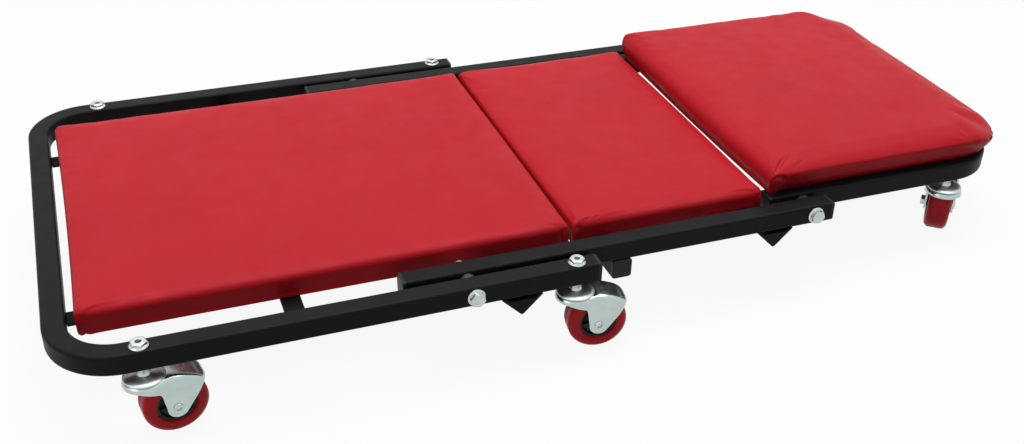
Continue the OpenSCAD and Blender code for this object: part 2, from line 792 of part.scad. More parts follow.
module base_caster_stems() {
    color(zinc) at_stems([foot_caster, rail_caster]) stem(rail_top + stem_nut_h - stem_sink);
}
module head_caster_stems() {
    color(zinc) at_stems([head_caster]) stem(rail_bottom + tube_wall + insert_h);
}
module base_caster_nuts() {
    color(zinc) at_stems([foot_caster, rail_caster]) stem_nut();
}
module head_caster_inserts() {
    color(zinc) at_stems([head_caster]) insert();
}
module caster_cups(list) {
    color(zinc) at_stems(list) cup();
}
module caster_balls(list) {
    color(zinc) at_stems(list) balls();
}
module middle_rails() {
    color(powder_black) difference() {
        for (s = [-1, 1]) straight_tube(mid_pivot_x - mid_back_len, head_pivot_x + mid_front_len,
            s * (mid_hw - tube / 2), pivot_z);
        pivot_holes(mid_pivot_x, mid_hw, running_play);
        pivot_holes(head_pivot_x, mid_hw, hole_play);
    }
}
module middle_plugs() {
    color(plug_black) {
        for (s = [-1, 1]) {
            translate([head_pivot_x + mid_front_len, s * (mid_hw - tube / 2), pivot_z]) short_plug();
            translate([mid_pivot_x - mid_back_len, s * (mid_hw - tube / 2), pivot_z])
                mirror([1, 0, 0]) tube_plug();
            translate([mid_tube_x0 + tube / 2, s * (mid_hw - plug_flange), rail_bottom - tube / 2])
                rotate([0, 0, s * 90]) tube_plug();
        }
    }
}
// Plug that stops short of the pivot bolt
module short_plug() {
    reach = mid_front_len - bolt_d;
    tube_bar(tube, tube_edge_r, 0, plug_flange, 0, 0);
    tube_bar(tube - 2 * tube_wall - 2 * hole_play, tube_edge_r - tube_wall / 2, -reach, 0, 0, 0);
}
module middle_cross_tube() {
    half = mid_hw - plug_flange;
    color(powder_black) translate([mid_tube_x0 + tube / 2, 0, rail_bottom - tube / 2])
        rotate([0, 0, 90]) straight_tube(-half, half, 0, 0);
}
module middle_pad_bars() {
    y0 = bar_y - bar_w / 2;
    y1 = bar_y + bar_w / 2;
    color(powder_black) {
        flat_bar(mid_bar_x0, mid_bar_x0 + bar_w, tube - mid_hw, mid_hw - tube, rail_bottom, []);
        for (s = [0, 1]) mirror([0, s, 0])
            flat_bar(mid_tube_x0, mid_bar_x0, y0, y1, rail_bottom, mid_screws);
    }
}
module middle_stop_brackets() {
    color(powder_black) stop_pair(head_pivot_x, -1, mid_hw);
}
module middle_pad_board() {
    color(plywood) board(mid_pad_x0, mid_pad_x1, pad_half_w, seam_corner_r, seam_corner_r,
        bars_top, mid_screws);
}
module middle_pad() {
    color(vinyl_red) pad(mid_pad_x0, mid_pad_x1, pad_half_w, seam_corner_r, seam_corner_r,
        bars_top, pad_h, pad_edge_in, side_in_shares, pad_crown);
}
module middle_pad_screws() {
    color(zinc) board_screws(mid_screws, rail_bottom);
}
module head_pivot_bolts() {
    color(zinc) pivot_bolts(head_pivot_x, mid_hw);
}
module head_pivot_nuts() {
    color(zinc) pivot_nuts(head_pivot_x, mid_hw);
}
module head_pivot_spacers() {
    color(plug_black) pivot_spacers(head_pivot_x, mid_hw);
}
module head_frame_tube() {
    color(powder_black) difference() {
        translate([head_end_x, 0, pivot_z]) mirror([1, 0, 0]) u_tube(head_len + head_back_len, head_hw);
        stem_holes(stem_head_x, head_hw, tube_wall);
        pivot_holes(head_pivot_x, head_hw, running_play);
    }
}
module head_arm_plugs() {
    color(plug_black) for (s = [-1, 1])
        translate([head_pivot_x - head_back_len, s * (head_hw - tube / 2), pivot_z])
            mirror([1, 0, 0]) tube_plug();
}
module head_cross_bars() {
    color(powder_black) for (x = head_bar_xs)
        flat_bar(head_pivot_x + x, head_pivot_x + x + bar_w, tube - head_hw, head_hw - tube,
            rail_top - bar_t, head_screws);
}
module head_pad_board() {
    color(plywood) board(head_pad_x0, overall_len, head_pad_half_w, head_near_r, head_corner_r,
        rail_top, head_screws);
}
module head_pad() {
    color(vinyl_red) pad(head_pad_x0, overall_len, head_pad_half_w, head_near_r, head_corner_r,
        rail_top, head_pad_h, head_edge_in, head_in_shares, head_pad_crown);
}
module head_pad_screws() {
    color(zinc) board_screws(head_screws, rail_top - bar_t);
}
module caster_fork(c, side) {
    color(zinc) at_caster(c, side) fork();
}
module caster_axle(c, side) {
    color(zinc) at_caster(c, side) axle();
}
module caster_hub(c, side) {
    color(plug_black) at_caster(c, side) hub();
}
module caster_tyre(c, side) {
    color(wheel_red) at_caster(c, side) tyre();
}

placed() base_frame_tube();
placed() base_rail_plugs();
placed() base_pad_bars();
placed() base_stop_brackets();
placed() base_pad_board();
placed() base_pad();
placed() base_pad_screws();
placed() base_pivot_bolts();
placed() base_pivot_nuts();
placed() base_pivot_spacers();
placed() base_caster_stems();
placed() base_caster_nuts();
placed() caster_cups([foot_caster, rail_caster]);  // base_caster_cups
placed() caster_balls([foot_caster, rail_caster]);  // base_caster_balls
placed() middle_rails();
placed() middle_plugs();
placed() middle_cross_tube();
placed() middle_pad_bars();
placed() middle_stop_brackets();
placed() middle_pad_board();
placed() middle_pad();
placed() middle_pad_screws();
placed() head_pivot_bolts();
placed() head_pivot_nuts();
placed() head_pivot_spacers();
placed() head_frame_tube();
placed() head_arm_plugs();
placed() head_cross_bars();
placed() head_pad_board();
placed() head_pad();
placed() head_pad_screws();
placed() head_caster_stems();
placed() head_caster_inserts();
placed() caster_cups([head_caster]);  // head_caster_cups
placed() caster_balls([head_caster]);  // head_caster_balls
placed() caster_fork(foot_caster, front);  // fork_foot_front
placed() caster_axle(foot_caster, front);  // axle_foot_front
placed() caster_hub(foot_caster, front);  // hub_foot_front
placed() caster_tyre(foot_caster, front);  // tyre_foot_front
placed() caster_fork(foot_caster, rear);  // fork_foot_rear
placed() caster_axle(foot_caster, rear);  // axle_foot_rear
placed() caster_hub(foot_caster, rear);  // hub_foot_rear
placed() caster_tyre(foot_caster, rear);  // tyre_foot_rear
placed() caster_fork(rail_caster, front);  // fork_rail_front
placed() caster_axle(rail_caster, front);  // axle_rail_front
placed() caster_hub(rail_caster, front);  // hub_rail_front
placed() caster_tyre(rail_caster, front);  // tyre_rail_front
placed() caster_fork(rail_caster, rear);  // fork_rail_rear
placed() caster_axle(rail_caster, rear);  // axle_rail_rear
placed() caster_hub(rail_caster, rear);  // hub_rail_rear
placed() caster_tyre(rail_caster, rear);  // tyre_rail_rear
placed() caster_fork(head_caster, front);  // fork_head_front
placed() caster_axle(head_caster, front);  // axle_head_front
placed() caster_hub(head_caster, front);  // hub_head_front
placed() caster_tyre(head_caster, front);  // tyre_head_front
placed() caster_fork(head_caster, rear);  // fork_head_rear
placed() caster_axle(head_caster, rear);  // axle_head_rear
placed() caster_hub(head_caster, rear);  // hub_head_rear
placed() caster_tyre(head_caster, rear);  // tyre_head_rear
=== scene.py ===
"""Looks of the mechanic creeper, built around its CAD frame. Lengths are in mm until a mesh is made."""
from math import atan2, cos, pi, radians, sin, sqrt, tan

import bmesh
import bpy
import numpy as np
from mathutils import Matrix, Vector
from mathutils.geometry import delaunay_2d_cdt


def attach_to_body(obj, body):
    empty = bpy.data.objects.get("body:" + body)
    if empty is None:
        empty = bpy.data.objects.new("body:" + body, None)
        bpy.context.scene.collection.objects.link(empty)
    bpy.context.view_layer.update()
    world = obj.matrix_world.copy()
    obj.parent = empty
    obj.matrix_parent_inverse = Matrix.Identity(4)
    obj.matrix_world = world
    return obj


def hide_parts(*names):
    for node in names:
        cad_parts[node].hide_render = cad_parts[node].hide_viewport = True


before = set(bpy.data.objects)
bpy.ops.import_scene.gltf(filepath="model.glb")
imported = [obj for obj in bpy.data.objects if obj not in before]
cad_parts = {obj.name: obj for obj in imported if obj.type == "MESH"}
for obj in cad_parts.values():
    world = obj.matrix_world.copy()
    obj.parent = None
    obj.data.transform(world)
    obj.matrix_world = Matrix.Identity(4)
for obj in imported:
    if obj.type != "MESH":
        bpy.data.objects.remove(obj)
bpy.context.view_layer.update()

MM = 0.001
# Foot end to the middle of the whole, which is the origin of the frame
ORIGIN_X = 500.0

# Camera, fitted to the photo
CAMERA_AT = (77.895, -1066.399, 710.653)
YAW, PITCH, ROLL = 0.366392, -0.559503, 0.026892
FOCAL_PX = 1209.268
PHOTO_W = 1024
SENSOR = 36.0
# Nearest and furthest things it sees, in metres
NEAR, FAR = 0.05, 50


def row(x, y, z):
    """Point given from the foot end, in mm, to the row frame in metres."""
    return Vector(((x - ORIGIN_X) * MM, y * MM, z * MM))


def new_object(name, data):
    obj = bpy.data.objects.new(name, data)
    bpy.context.scene.collection.objects.link(obj)
    return obj


def make_camera():
    forward = Vector((sin(YAW) * cos(PITCH), cos(YAW) * cos(PITCH), sin(PITCH)))
    right = Vector((cos(YAW), -sin(YAW), 0))
    up = right.cross(forward)
    rolled_right = right * cos(ROLL) + up * sin(ROLL)
    rolled_up = up * cos(ROLL) - right * sin(ROLL)
    data = bpy.data.cameras.new("camera")
    data.sensor_width = SENSOR
    data.lens = FOCAL_PX / PHOTO_W * SENSOR
    data.clip_start = NEAR
    data.clip_end = FAR
    cam = new_object("camera", data)
    turn = Matrix((rolled_right, rolled_up, -forward)).transposed()
    cam.matrix_world = Matrix.Translation(row(*CAMERA_AT)) @ turn.to_4x4()
    bpy.context.scene.camera = cam


# Materials
# Shade of a spot in the zinc, as a share of its dark colour
SPOT_SHADE = 0.72
BEVEL_SAMPLES = 4


def add_node(tree, kind, **sockets):
    """A new shader node, its sockets given values or links by their names, with _ for each space."""
    node = tree.nodes.new("ShaderNode" + kind)
    for name, value in sockets.items():
        socket = node.inputs[name.replace("_", " ")]
        if isinstance(value, bpy.types.NodeSocket):
            tree.links.new(value, socket)
        else:
            socket.default_value = value
    return node


class Look:
    """A node material built around one Principled shader, with object coordinates."""

    def __init__(self, name, rough, metallic=0.0, **sockets):
        self.mat = bpy.data.materials.new(name)
        self.mat.use_nodes = True
        self.tree = self.mat.node_tree
        self.bsdf = self.tree.nodes["Principled BSDF"]
        for key, value in {"Roughness": rough, "Metallic": metallic, **sockets}.items():
            self.bsdf.inputs[key.replace("_", " ")].default_value = value
        self.coords = add_node(self.tree, "TexCoord").outputs["Object"]
        self.normal = None

    def scaled(self, scale):
        return add_node(self.tree, "Mapping", Vector=self.coords, Scale=scale).outputs["Vector"]

    def noise(self, scale, detail=3.0, rough=0.5, distortion=0.0, vector=None):
        n = add_node(self.tree, "TexNoise", Vector=vector or self.coords, Scale=scale, Detail=detail,
                     Roughness=rough, Distortion=distortion)
        return n.outputs["Fac"]

    def cells(self, scale, smooth):
        v = add_node(self.tree, "TexVoronoi", Vector=self.coords, Scale=scale)
        v.feature = "SMOOTH_F1"
        v.inputs["Smoothness"].default_value = smooth
        return v.outputs["Distance"]

    def ramp(self, fac, *stops):
        r = add_node(self.tree, "ValToRGB", Fac=fac)
        for e, (at, color) in zip(r.color_ramp.elements, stops):
            e.position = at
            e.color = (*color, 1)
        return r.outputs["Color"]

    def tones(self, fac, dark, light):
        return self.ramp(fac, (0.3, dark), (0.7, light))

    def specks(self, fac, low, high):
        return self.ramp(fac, (low, (0, 0, 0)), (high, (1, 1, 1)))

    def span(self, fac, low, high, from_low=0.3, from_high=0.7):
        m = add_node(self.tree, "MapRange", Value=fac, From_Min=from_low, From_Max=from_high,
                     To_Min=low, To_Max=high)
        return m.outputs["Result"]

    def mix(self, fac, a, b, kind="MIX"):
        """Mixes colours or sockets; the node's colour sockets go by number, as their names aren't unique."""
        m = self.tree.nodes.new("ShaderNodeMix")
        m.data_type = "RGBA"
        m.blend_type = kind
        for value, socket in ((fac, m.inputs["Factor"]), (a, m.inputs[6]), (b, m.inputs[7])):
            if isinstance(value, bpy.types.NodeSocket):
                self.tree.links.new(value, socket)
            elif isinstance(value, (int, float)):
                socket.default_value = value
            else:
                socket.default_value = (*value, 1)
        return m.outputs[2]

    def bump(self, height, strength, distance):
        b = add_node(self.tree, "Bump", Height=height, Strength=strength, Distance=distance)
        if self.normal is not None:
            self.tree.links.new(self.normal, b.inputs["Normal"])
        self.normal = b.outputs["Normal"]

    def soften(self, radius):
        """Rounds what the light sees of sharp edges."""
        b = add_node(self.tree, "Bevel", Radius=radius)
        b.samples = BEVEL_SAMPLES
        self.normal = b.outputs["Normal"]

    def done(self, color, rough):
        for value, key in ((color, "Base Color"), (rough, "Roughness"), (self.normal, "Normal")):
            self.tree.links.new(value, self.bsdf.inputs[key])
        return self.mat


def make_powder_black():
    k = Look("powder_black", 0.5, Specular_IOR_Level=0.08)
    k.soften(0.0006)
    k.bump(k.noise(1100, 2), 0.25, 0.00006)
    k.bump(k.noise(220, 2), 0.15, 0.0001)
    color = k.tones(k.noise(35, 4), (0.0062, 0.0062, 0.0068), (0.0092, 0.0093, 0.0102))
    dust = k.specks(k.noise(900, 5, 0.7), 0.66, 0.74)
    color = k.mix(dust, color, (0.035, 0.035, 0.036))
    return k.done(color, k.span(k.noise(60, 3), 0.4, 0.52))


def make_plug_plastic():
    k = Look("plug_plastic", 0.5, Specular_IOR_Level=0.2)
    k.soften(0.0005)
    k.bump(k.noise(1800, 2), 0.3, 0.00005)
    color = k.tones(k.noise(80, 3), (0.008, 0.008, 0.0085), (0.013, 0.013, 0.0135))
    return k.done(color, k.span(k.noise(120, 3), 0.42, 0.58))


def make_spacer_plastic():
    k = Look("spacer_plastic", 0.45)
    k.bump(k.noise(900, 2), 0.2, 0.00005)
    color = k.tones(k.noise(90, 3), (0.02, 0.02, 0.021), (0.03, 0.03, 0.03))
    return k.done(color, k.span(k.noise(120, 3), 0.38, 0.5))


def make_red_vinyl():
    k = Look("red_vinyl", 0.48, Specular_IOR_Level=0.12)
    grain = k.cells(850, 0.6)
    k.bump(k.noise(30, 3, 0.5), 0.2, 0.0012)
    k.bump(grain, 0.3, 0.00018)
    k.bump(k.noise(2600, 3, 0.6), 0.25, 0.00004)
    base = k.tones(k.noise(9, 4, 0.55), (0.45, 0.0095, 0.017), (0.495, 0.0115, 0.0205))
    # Painted shade: the grain's pits, where its bump is lowest, are darkened by up to 14%
    pit_shade = k.span(grain, 0.86, 1.0, 0.05, 0.35)
    color = k.mix(1.0, base, pit_shade, "MULTIPLY")
    return k.done(color, k.span(k.noise(45, 4), 0.42, 0.54))


def make_plywood():
    k = Look("plywood", 0.6)
    stretched = k.scaled((6, 60, 400))
    fibres = k.noise(3, 5, 0.6, 0.4, stretched)
    color = k.ramp(fibres, (0.25, (0.36, 0.22, 0.11)), (0.75, (0.60, 0.42, 0.25)))
    plies = k.noise(1, 0, vector=k.scaled((0, 0, 650)))
    color = k.mix(k.span(plies, 0, 0.4, 0.45, 0.55), color, (0.22, 0.13, 0.07))
    k.bump(fibres, 0.3, 0.0003)
    return k.done(color, k.span(fibres, 0.5, 0.7))


def make_zinc(name, dark, light, low, high, softened=0.0, grain=0.05):
    k = Look(name, 0.25, 1.0)
    if softened:
        k.soften(softened)
    k.bump(k.noise(400, 3), grain, 0.00008)
    color = k.tones(k.noise(70, 4, 0.6), dark, light)
    spots = k.specks(k.noise(420, 3, 0.6), 0.7, 0.78)
    color = k.mix(spots, color, tuple(SPOT_SHADE * v for v in dark))
    return k.done(color, k.span(k.noise(160, 4), low, high))


def make_hub_plastic():
    k = Look("hub_plastic", 0.5, Specular_IOR_Level=0.25)
    k.bump(k.noise(1500, 2), 0.2, 0.00005)
    color = k.tones(k.noise(80, 3), (0.009, 0.009, 0.009), (0.016, 0.016, 0.016))
    return k.done(color, k.span(k.noise(140, 3), 0.4, 0.55))


def make_wheel_red():
    k = Look("wheel_red", 0.45, Specular_IOR_Level=0.2)
    k.bump(k.noise(700, 3), 0.15, 0.00006)
    color = k.tones(k.noise(55, 4), (0.52, 0.012, 0.02), (0.62, 0.015, 0.025))
    scuff = k.specks(k.noise(500, 4, 0.65), 0.64, 0.75)
    color = k.mix(scuff, color, (0.4, 0.014, 0.02))
    return k.done(color, k.span(k.noise(90, 3), 0.36, 0.5))


MATERIALS = {
    "powder_black": make_powder_black(),
    "plug_plastic": make_plug_plastic(),
    "spacer_plastic": make_spacer_plastic(),
    "red_vinyl": make_red_vinyl(),
    "plywood": make_plywood(),
    "fork_zinc": make_zinc("fork_zinc", (0.44, 0.53, 0.51), (0.50, 0.58, 0.56), 0.2, 0.28),
    "cup_zinc": make_zinc("cup_zinc", (0.56, 0.60, 0.61), (0.64, 0.68, 0.69), 0.34, 0.44),
    "bearing_steel": make_zinc("bearing_steel", (0.55, 0.55, 0.56), (0.62, 0.62, 0.63), 0.12, 0.18),
    "fastener_zinc": make_zinc("fastener_zinc", (0.47, 0.52, 0.50), (0.57, 0.62, 0.60), 0.3, 0.42,
                               0.0004, 0.02),
    "hub_plastic": make_hub_plastic(),
    "wheel_red": make_wheel_red(),
}


def dress_cad():
    """Gives each CAD node the material of its own slot."""
    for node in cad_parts.values():
        for s in node.material_slots:
            key = (s.material.name if s.material else "").split(".")[0]
            if key in MATERIALS:
                s.material = MATERIALS[key]


# Meshes
# Mirror across the middle of the creeper, and the slope of a nut's chamfer
ACROSS = Matrix.Diagonal((1, -1, 1, 1))
CHAMFER = tan(radians(30))


def ring_faces(rings, n):
    """Quads between closed rings of n points each."""
    return [(k * n + i, k * n + (i + 1) % n, (k + 1) * n + (i + 1) % n, (k + 1) * n + i)
            for k in range(rings - 1) for i in range(n)]


def make_mesh(name, parts, material):
    """One object from parts; a part is its points, in mm from the foot end, and its faces."""
    points, faces = [], []
    for part_points, part_faces in parts:
        first = len(points)
        points.extend(((p[0] - ORIGIN_X) * MM, p[1] * MM, p[2] * MM) for p in part_points)
        faces.extend(tuple(first + i for i in f) for f in part_faces)
    data = bpy.data.meshes.new(name)
    data.from_pydata(points, [], faces)
    data.materials.append(MATERIALS[material])
    return new_object(name, data)


def smooth_shade(obj, sharp=None):
    data = obj.data
    data.polygons.foreach_set("use_smooth", [True] * len(data.polygons))
    if sharp is not None:
        data.set_sharp_from_angle(angle=radians(sharp))
    data.update()


def attach(obj, slot, body, *nodes):
    """Makes a piece ride on a body in place of its CAD nodes."""
    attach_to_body(obj, body)
    if nodes:
        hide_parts(*nodes)


def piece(name, parts, material, body, nodes, sharp):
    """Makes a rigid piece from parts, in the material of the given name."""
    obj = make_mesh(name, parts, material)
    smooth_shade(obj, sharp)
    attach(obj, material, body, *nodes)


def apply_all(obj):
    """Puts what the modifiers make into the mesh itself."""
    graph = bpy.context.evaluated_depsgraph_get()
    data = bpy.data.meshes.new_from_object(obj.evaluated_get(graph))
    obj.modifiers.clear()
    obj.data = data


def moved(part, matrix):
    """A part through a matrix. Its faces turn over where the matrix mirrors."""
    pts, faces = part
    m = np.array(matrix, float)
    out = np.asarray(pts, float) @ m[:3, :3].T + m[:3, 3]
    if np.linalg.det(m[:3, :3]) < 0:
        faces = [tuple(reversed(f)) for f in faces]
    return out.tolist(), faces


def place(x, y, z=0.0, turn=0.0, mirror=0, then=None):
    """Matrix that turns about Z and moves, after `then`, and mirrors across the middle."""
    m = Matrix.Translation((x, y, z)) @ Matrix.Rotation(radians(turn), 4, "Z")
    if then is not None:
        m = m @ then
    return ACROSS @ m if mirror else m


def lathe(profile, n, closed=False):
    """Turns (radius, height) points about Z; going up the outside makes outward faces."""
    a = np.arange(n) * 2 * pi / n
    pts = [(r * c, r * q, z) for r, z in profile for c, q in zip(np.cos(a), np.sin(a))]
    faces = ring_faces(len(profile), n)
    if closed:
        k = len(profile) - 1
        faces += [(k * n + i, k * n + (i + 1) % n, (i + 1) % n, i) for i in range(n)]
    return pts, faces


def hexed(rings, n=96):
    """Rings of (kind, size, height): o is a circle of that radius, x a hexagon across its flats,
    and c that hexagon under a cone that starts at the radius in the fourth place."""
    a = np.arange(n) * 2 * pi / n
    fold = (a + pi / 6) % (pi / 3) - pi / 6
    pts = []
    for kind, size, z, *cone in rings:
        r = np.full(n, float(size)) if kind == "o" else size / 2 / np.cos(fold)
        zz = np.full(n, float(z))
        if kind == "c":
            zz = z - (r - cone[0]) * CHAMFER
        pts += list(zip(r * np.cos(a), r * np.sin(a), zz))
    return pts, ring_faces(len(rings), n)


def bend(p, q, r, n):
    """Points of a quadratic curve from p to r that leans towards q."""
    t = np.linspace(0, 1, n + 1)[:, None]
    return (1 - t) ** 2 * np.array(p) + 2 * t * (1 - t) * np.array(q) + t * t * np.array(r)


def ease(t):
    """Smooth step from 0 to 1."""
    t = np.clip(t, 0, 1)
    return t * t * (3 - 2 * t)


# Casters: heights from the floor, and lengths from the stem
CASTER_H, COLLAR_H, TUBE = 72.0, 8.0, 20.0
RAIL_TOP = CASTER_H + TUBE
NUT_TOP = RAIL_TOP + 5.0
TRAIL, WHEEL_R = 21.0, 28.5
# Stem's place, heading in degrees and body of the front caster of each pair
CASTERS = {"foot": (75.0, -228.0, 9.5, "base"), "rail": (464.5, -228.0, -8.6, "base"),
           "head": (919.0, -174.0, 50.0, "head")}
# Whether a side's casters mirror the front ones
SIDES = {"front": 0, "rear": 1}

# Pressed fork: outline seen from above, folds, and legs with their angles in degrees
NOSE_R, HALF_W, BACK_X, CORNER_R = 19.0, 15.5, 49.0, 10.5
NECK_R, FOLD_R, SHEET, DISC_Z = 16.0, 4.8, 2.0, 60.2
LEG_R, LEG_FRONT, LEG_BACK, BACK_LEAN = 9.3, 188, 324, 54
# The roof along its middle
ROOF_X = (-30, 8, 13, 17, 21, 27, 34, 40, 45, 49, 52)
ROOF_Z = (DISC_Z, DISC_Z, 60.6, 61.3, 61.5, 60.6, 58.5, 56.2, 53.2, 49.6, 46.2)
ROOF_STEPS, FOLD_STEPS, WALL_STEPS = 10, 8, 14
# Between these the outline moves steadily towards the back
NOSE_END, BACK_START = -9.4, BACK_X - CORNER_R
# The roof's columns fan out from a line that ends here
SPINE_END = 30.0
# Where the walls below the cup widen to the full width
FLARE_TOP, FLARE_DROP, FLARE_END = DISC_Z - 9, 14, 16
# Distances in metres within which points are welded or count as lying on the cut
WELD, CUT = 0.00002, 1e-6


def roof_height(x):
    """Height of the fork's roof along its middle, eased where it rises behind the cup."""
    window = 9
    fine = np.linspace(ROOF_X[0], ROOF_X[-1], 165)
    padded = np.pad(np.interp(fine, ROOF_X, ROOF_Z), window // 2, "edge")
    return np.interp(x, fine, np.convolve(padded, np.ones(window) / window, "valid"))


def arc(middle, r, start, end, n):
    """Points round a middle, each with the way it faces; a radius below zero gives a hollow."""
    return [(middle[0] + r * cos(a), middle[1] + r * sin(a), cos(a), sin(a))
            for a in np.linspace(start, end, n)]


def fork_outline():
    """Half of the fork seen from above: x, y and the normal, from the nose to the middle of the back."""
    neck_y = HALF_W + NECK_R
    neck_x = sqrt((NOSE_R + NECK_R) ** 2 - neck_y ** 2)
    meet = atan2(neck_y, neck_x)
    corner = (BACK_START, HALF_W - CORNER_R)
    pts = arc((0, 0), NOSE_R, pi, meet, 34)
    pts += arc((neck_x, neck_y), -NECK_R, meet, pi / 2, 12)[1:]
    pts += [(x, HALF_W, 0, 1) for x in np.linspace(neck_x, BACK_START, 30)[1:]]
    pts += arc(corner, CORNER_R, pi / 2, 0, 12)[1:]
    pts += [(BACK_X, y, 1, 0) for y in np.linspace(corner[1], 0, 6)[1:]]
    return np.array(pts)


def on_leg(angle):
    a = radians(angle)
    return TRAIL + LEG_R * cos(a), WHEEL_R + LEG_R * sin(a)


def leg_edge():
    """Lower outline of a side wall, from the nose to the back of the leg's round end."""
    root, knee = (-9.5, DISC_Z - 5.2), (6.6, DISC_Z - 10.8)
    front = on_leg(LEG_FRONT)
    return np.vstack([
        [(-NOSE_R - 1, root[1])],
        bend(root, (3.6, DISC_Z - 9.2), knee, 8),
        bend(knee, (8.8, DISC_Z - 12.6), (9.6, 42.5), 8)[1:],
        [(front[0] - 0.35, 31)],
        [on_leg(a) for a in np.linspace(LEG_FRONT, LEG_BACK, 26)]])


def fork_columns(edge):
    """Places along the outline at which the sheet is built, those of the leg's edge among them."""
    outline = fork_outline()
    x = outline[:, 0]
    steady = outline[(x >= NOSE_END) & (x <= BACK_START)]
    xs = np.unique(np.round(np.concatenate([steady[:, 0], edge[edge[:, 0] > NOSE_END, 0]]), 3))
    middle = np.column_stack([xs] + [np.interp(xs, steady[:, 0], steady[:, k]) for k in (1, 2, 3)])
    return np.vstack([outline[x < NOSE_END], middle, outline[x > BACK_START]])


def fork_half():
    """Half of the pressed sheet: roof, rounded fold, and the wall cut to the leg's outline."""
    edge = leg_edge()
    columns = fork_columns(edge)
    pts = []
    for x, y, nx, ny in columns:
        inner = np.array((x - nx * FOLD_R, y - ny * FOLD_R))
        spine = np.array((min(max(inner[0], 0.0), SPINE_END), 0.0))
        for t in np.arange(ROOF_STEPS) / ROOF_STEPS:
            p = spine + (inner - spine) * t
            pts.append((p[0], p[1], float(roof_height(p[0]))))
        top = float(roof_height(inner[0]))
        for a in np.linspace(0, pi / 2, FOLD_STEPS + 1):
            p = inner + FOLD_R * sin(a) * np.array((nx, ny))
            pts.append((p[0], p[1], top - FOLD_R * (1 - cos(a))))
        start = top - FOLD_R
        low = min(float(np.interp(x, edge[:, 0], edge[:, 1])), start - 0.5)
        for z in np.linspace(start, low, WALL_STEPS + 1)[1:]:
            flare = float(ease((FLARE_TOP - z) / FLARE_DROP)) if 0 < x < FLARE_END else 0.0
            pts.append((x, y + (HALF_W - y) * flare, z))
    rows = ROOF_STEPS + FOLD_STEPS + 1 + WALL_STEPS
    faces = [(i * rows + k, i * rows + k + 1, (i + 1) * rows + k + 1, (i + 1) * rows + k)
             for i in range(len(columns) - 1) for k in range(rows - 1)]
    return pts, faces


def weld_and_trim(obj):
    """Joins the two halves of a fork and cuts the backs of its legs to their lean."""
    lean = radians(BACK_LEAN)
    x, z = on_leg(LEG_BACK)
    bm = bmesh.new()
    bm.from_mesh(obj.data)
    bmesh.ops.remove_doubles(bm, verts=bm.verts, dist=WELD)
    everything = bm.verts[:] + bm.edges[:] + bm.faces[:]
    bmesh.ops.bisect_plane(bm, geom=everything, dist=CUT, plane_co=(x * MM, 0, z * MM),
                           plane_no=(sin(lean), 0, -cos(lean)), clear_outer=True)
    bmesh.ops.recalc_face_normals(bm, faces=bm.faces)
    top = max(bm.faces, key=lambda f: f.calc_center_median().z)
    if top.normal.z < 0:
        bmesh.ops.reverse_faces(bm, faces=bm.faces)
    bm.to_mesh(obj.data)
    bm.free()


def make_fork(key, side):
    """Fork bent from one sheet about its stem, then carried to its place."""
    half = fork_half()
    local = place(ORIGIN_X, 0)
    halves = [moved(half, local), moved(half, local @ ACROSS)]
    obj = make_mesh(f"pressed_fork_{key}_{side}", halves, "fork_zinc")
    weld_and_trim(obj)
    thick = obj.modifiers.new("sheet", "SOLIDIFY")
    thick.thickness = SHEET * MM
    thick.offset = -1
    thick.use_even_offset = True
    apply_all(obj)
    x, y, turn, _ = CASTERS[key]
    m = place(x - ORIGIN_X, y, 0, turn, SIDES[side])
    m = Matrix.Translation(m.translation * MM) @ m.to_3x3().to_4x4()
    obj.data.transform(m)
    if SIDES[side]:
        obj.data.flip_normals()
    smooth_shade(obj, 40)
    attach(obj, "fork_zinc", f"fork_{key}_{side}", f"fork_{key}_{side}")


# Wheel, made about its axle; its profiles are radii and distances from its middle
WHEEL_TURN = Matrix.Translation((TRAIL, 0, WHEEL_R)) @ Matrix.Rotation(pi / 2, 4, "X")
TREAD_HALF = 7.0
SEAM_DEPTH = 0.12
# Ribs of the hub: number and first angle; ends, half thickness and taper; heights
RIBS, RIB_ANGLE = 6, 15
RIB_START, RIB_END, RIB_T, RIB_TAPER = 6.2, 14.6, 0.9, 0.7
RIB_FOOT, RIB_TOP = 5.0, 8.0


def image_of(half):
    return [(r, -z) for r, z in reversed(half)]


def tyre_part():
    """Cast tyre with rounded shoulders and a faint mould seam round its tread."""
    half = [(17.0, -9.5), (17.6, -11.2), (18.4, -11.9), (19.4, -12.0), (22.4, -12.0)]
    half += [tuple(p) for p in bend((24.6, -11.6), (28.3, -9.4), (WHEEL_R, -TREAD_HALF), 8)]
    half += [(WHEEL_R, -4.5), (WHEEL_R, -0.5), (WHEEL_R - SEAM_DEPTH, -0.25), (WHEEL_R - SEAM_DEPTH, 0.0)]
    return lathe(half + image_of(half[:-1]), 96, True)


def hub_part():
    half = [(3.05, -13.2), (5.2, -13.2), (6.3, -12.4), (6.6, -10.5), (6.8, -6.2), (7.6, -5.6), (13.4, -5.6),
            (14.2, -6.2), (14.6, -8.6), (15.2, -9.3), (17.0, -9.5)]
    return lathe(half + image_of(half), 72, True)


def rib_part(sign):
    """One rib from the hub's sleeve to its rim, on the side of the wheel that the sign gives."""
    corners = ((RIB_START, -RIB_T), (RIB_END, -RIB_T), (RIB_END, RIB_T), (RIB_START, RIB_T))
    foot = [(x, y, RIB_FOOT * sign) for x, y in corners]
    top = [(x, y * RIB_TAPER, RIB_TOP * sign) for x, y in corners]
    faces = [(4, 5, 6, 7), (0, 1, 5, 4), (1, 2, 6, 5), (2, 3, 7, 6), (3, 0, 4, 7)]
    if sign < 0:
        faces = [tuple(reversed(f)) for f in faces]
    return foot + top, faces


def at_axle(key, side):
    x, y, turn, _ = CASTERS[key]
    return place(x, y, 0, turn, SIDES[side], WHEEL_TURN)


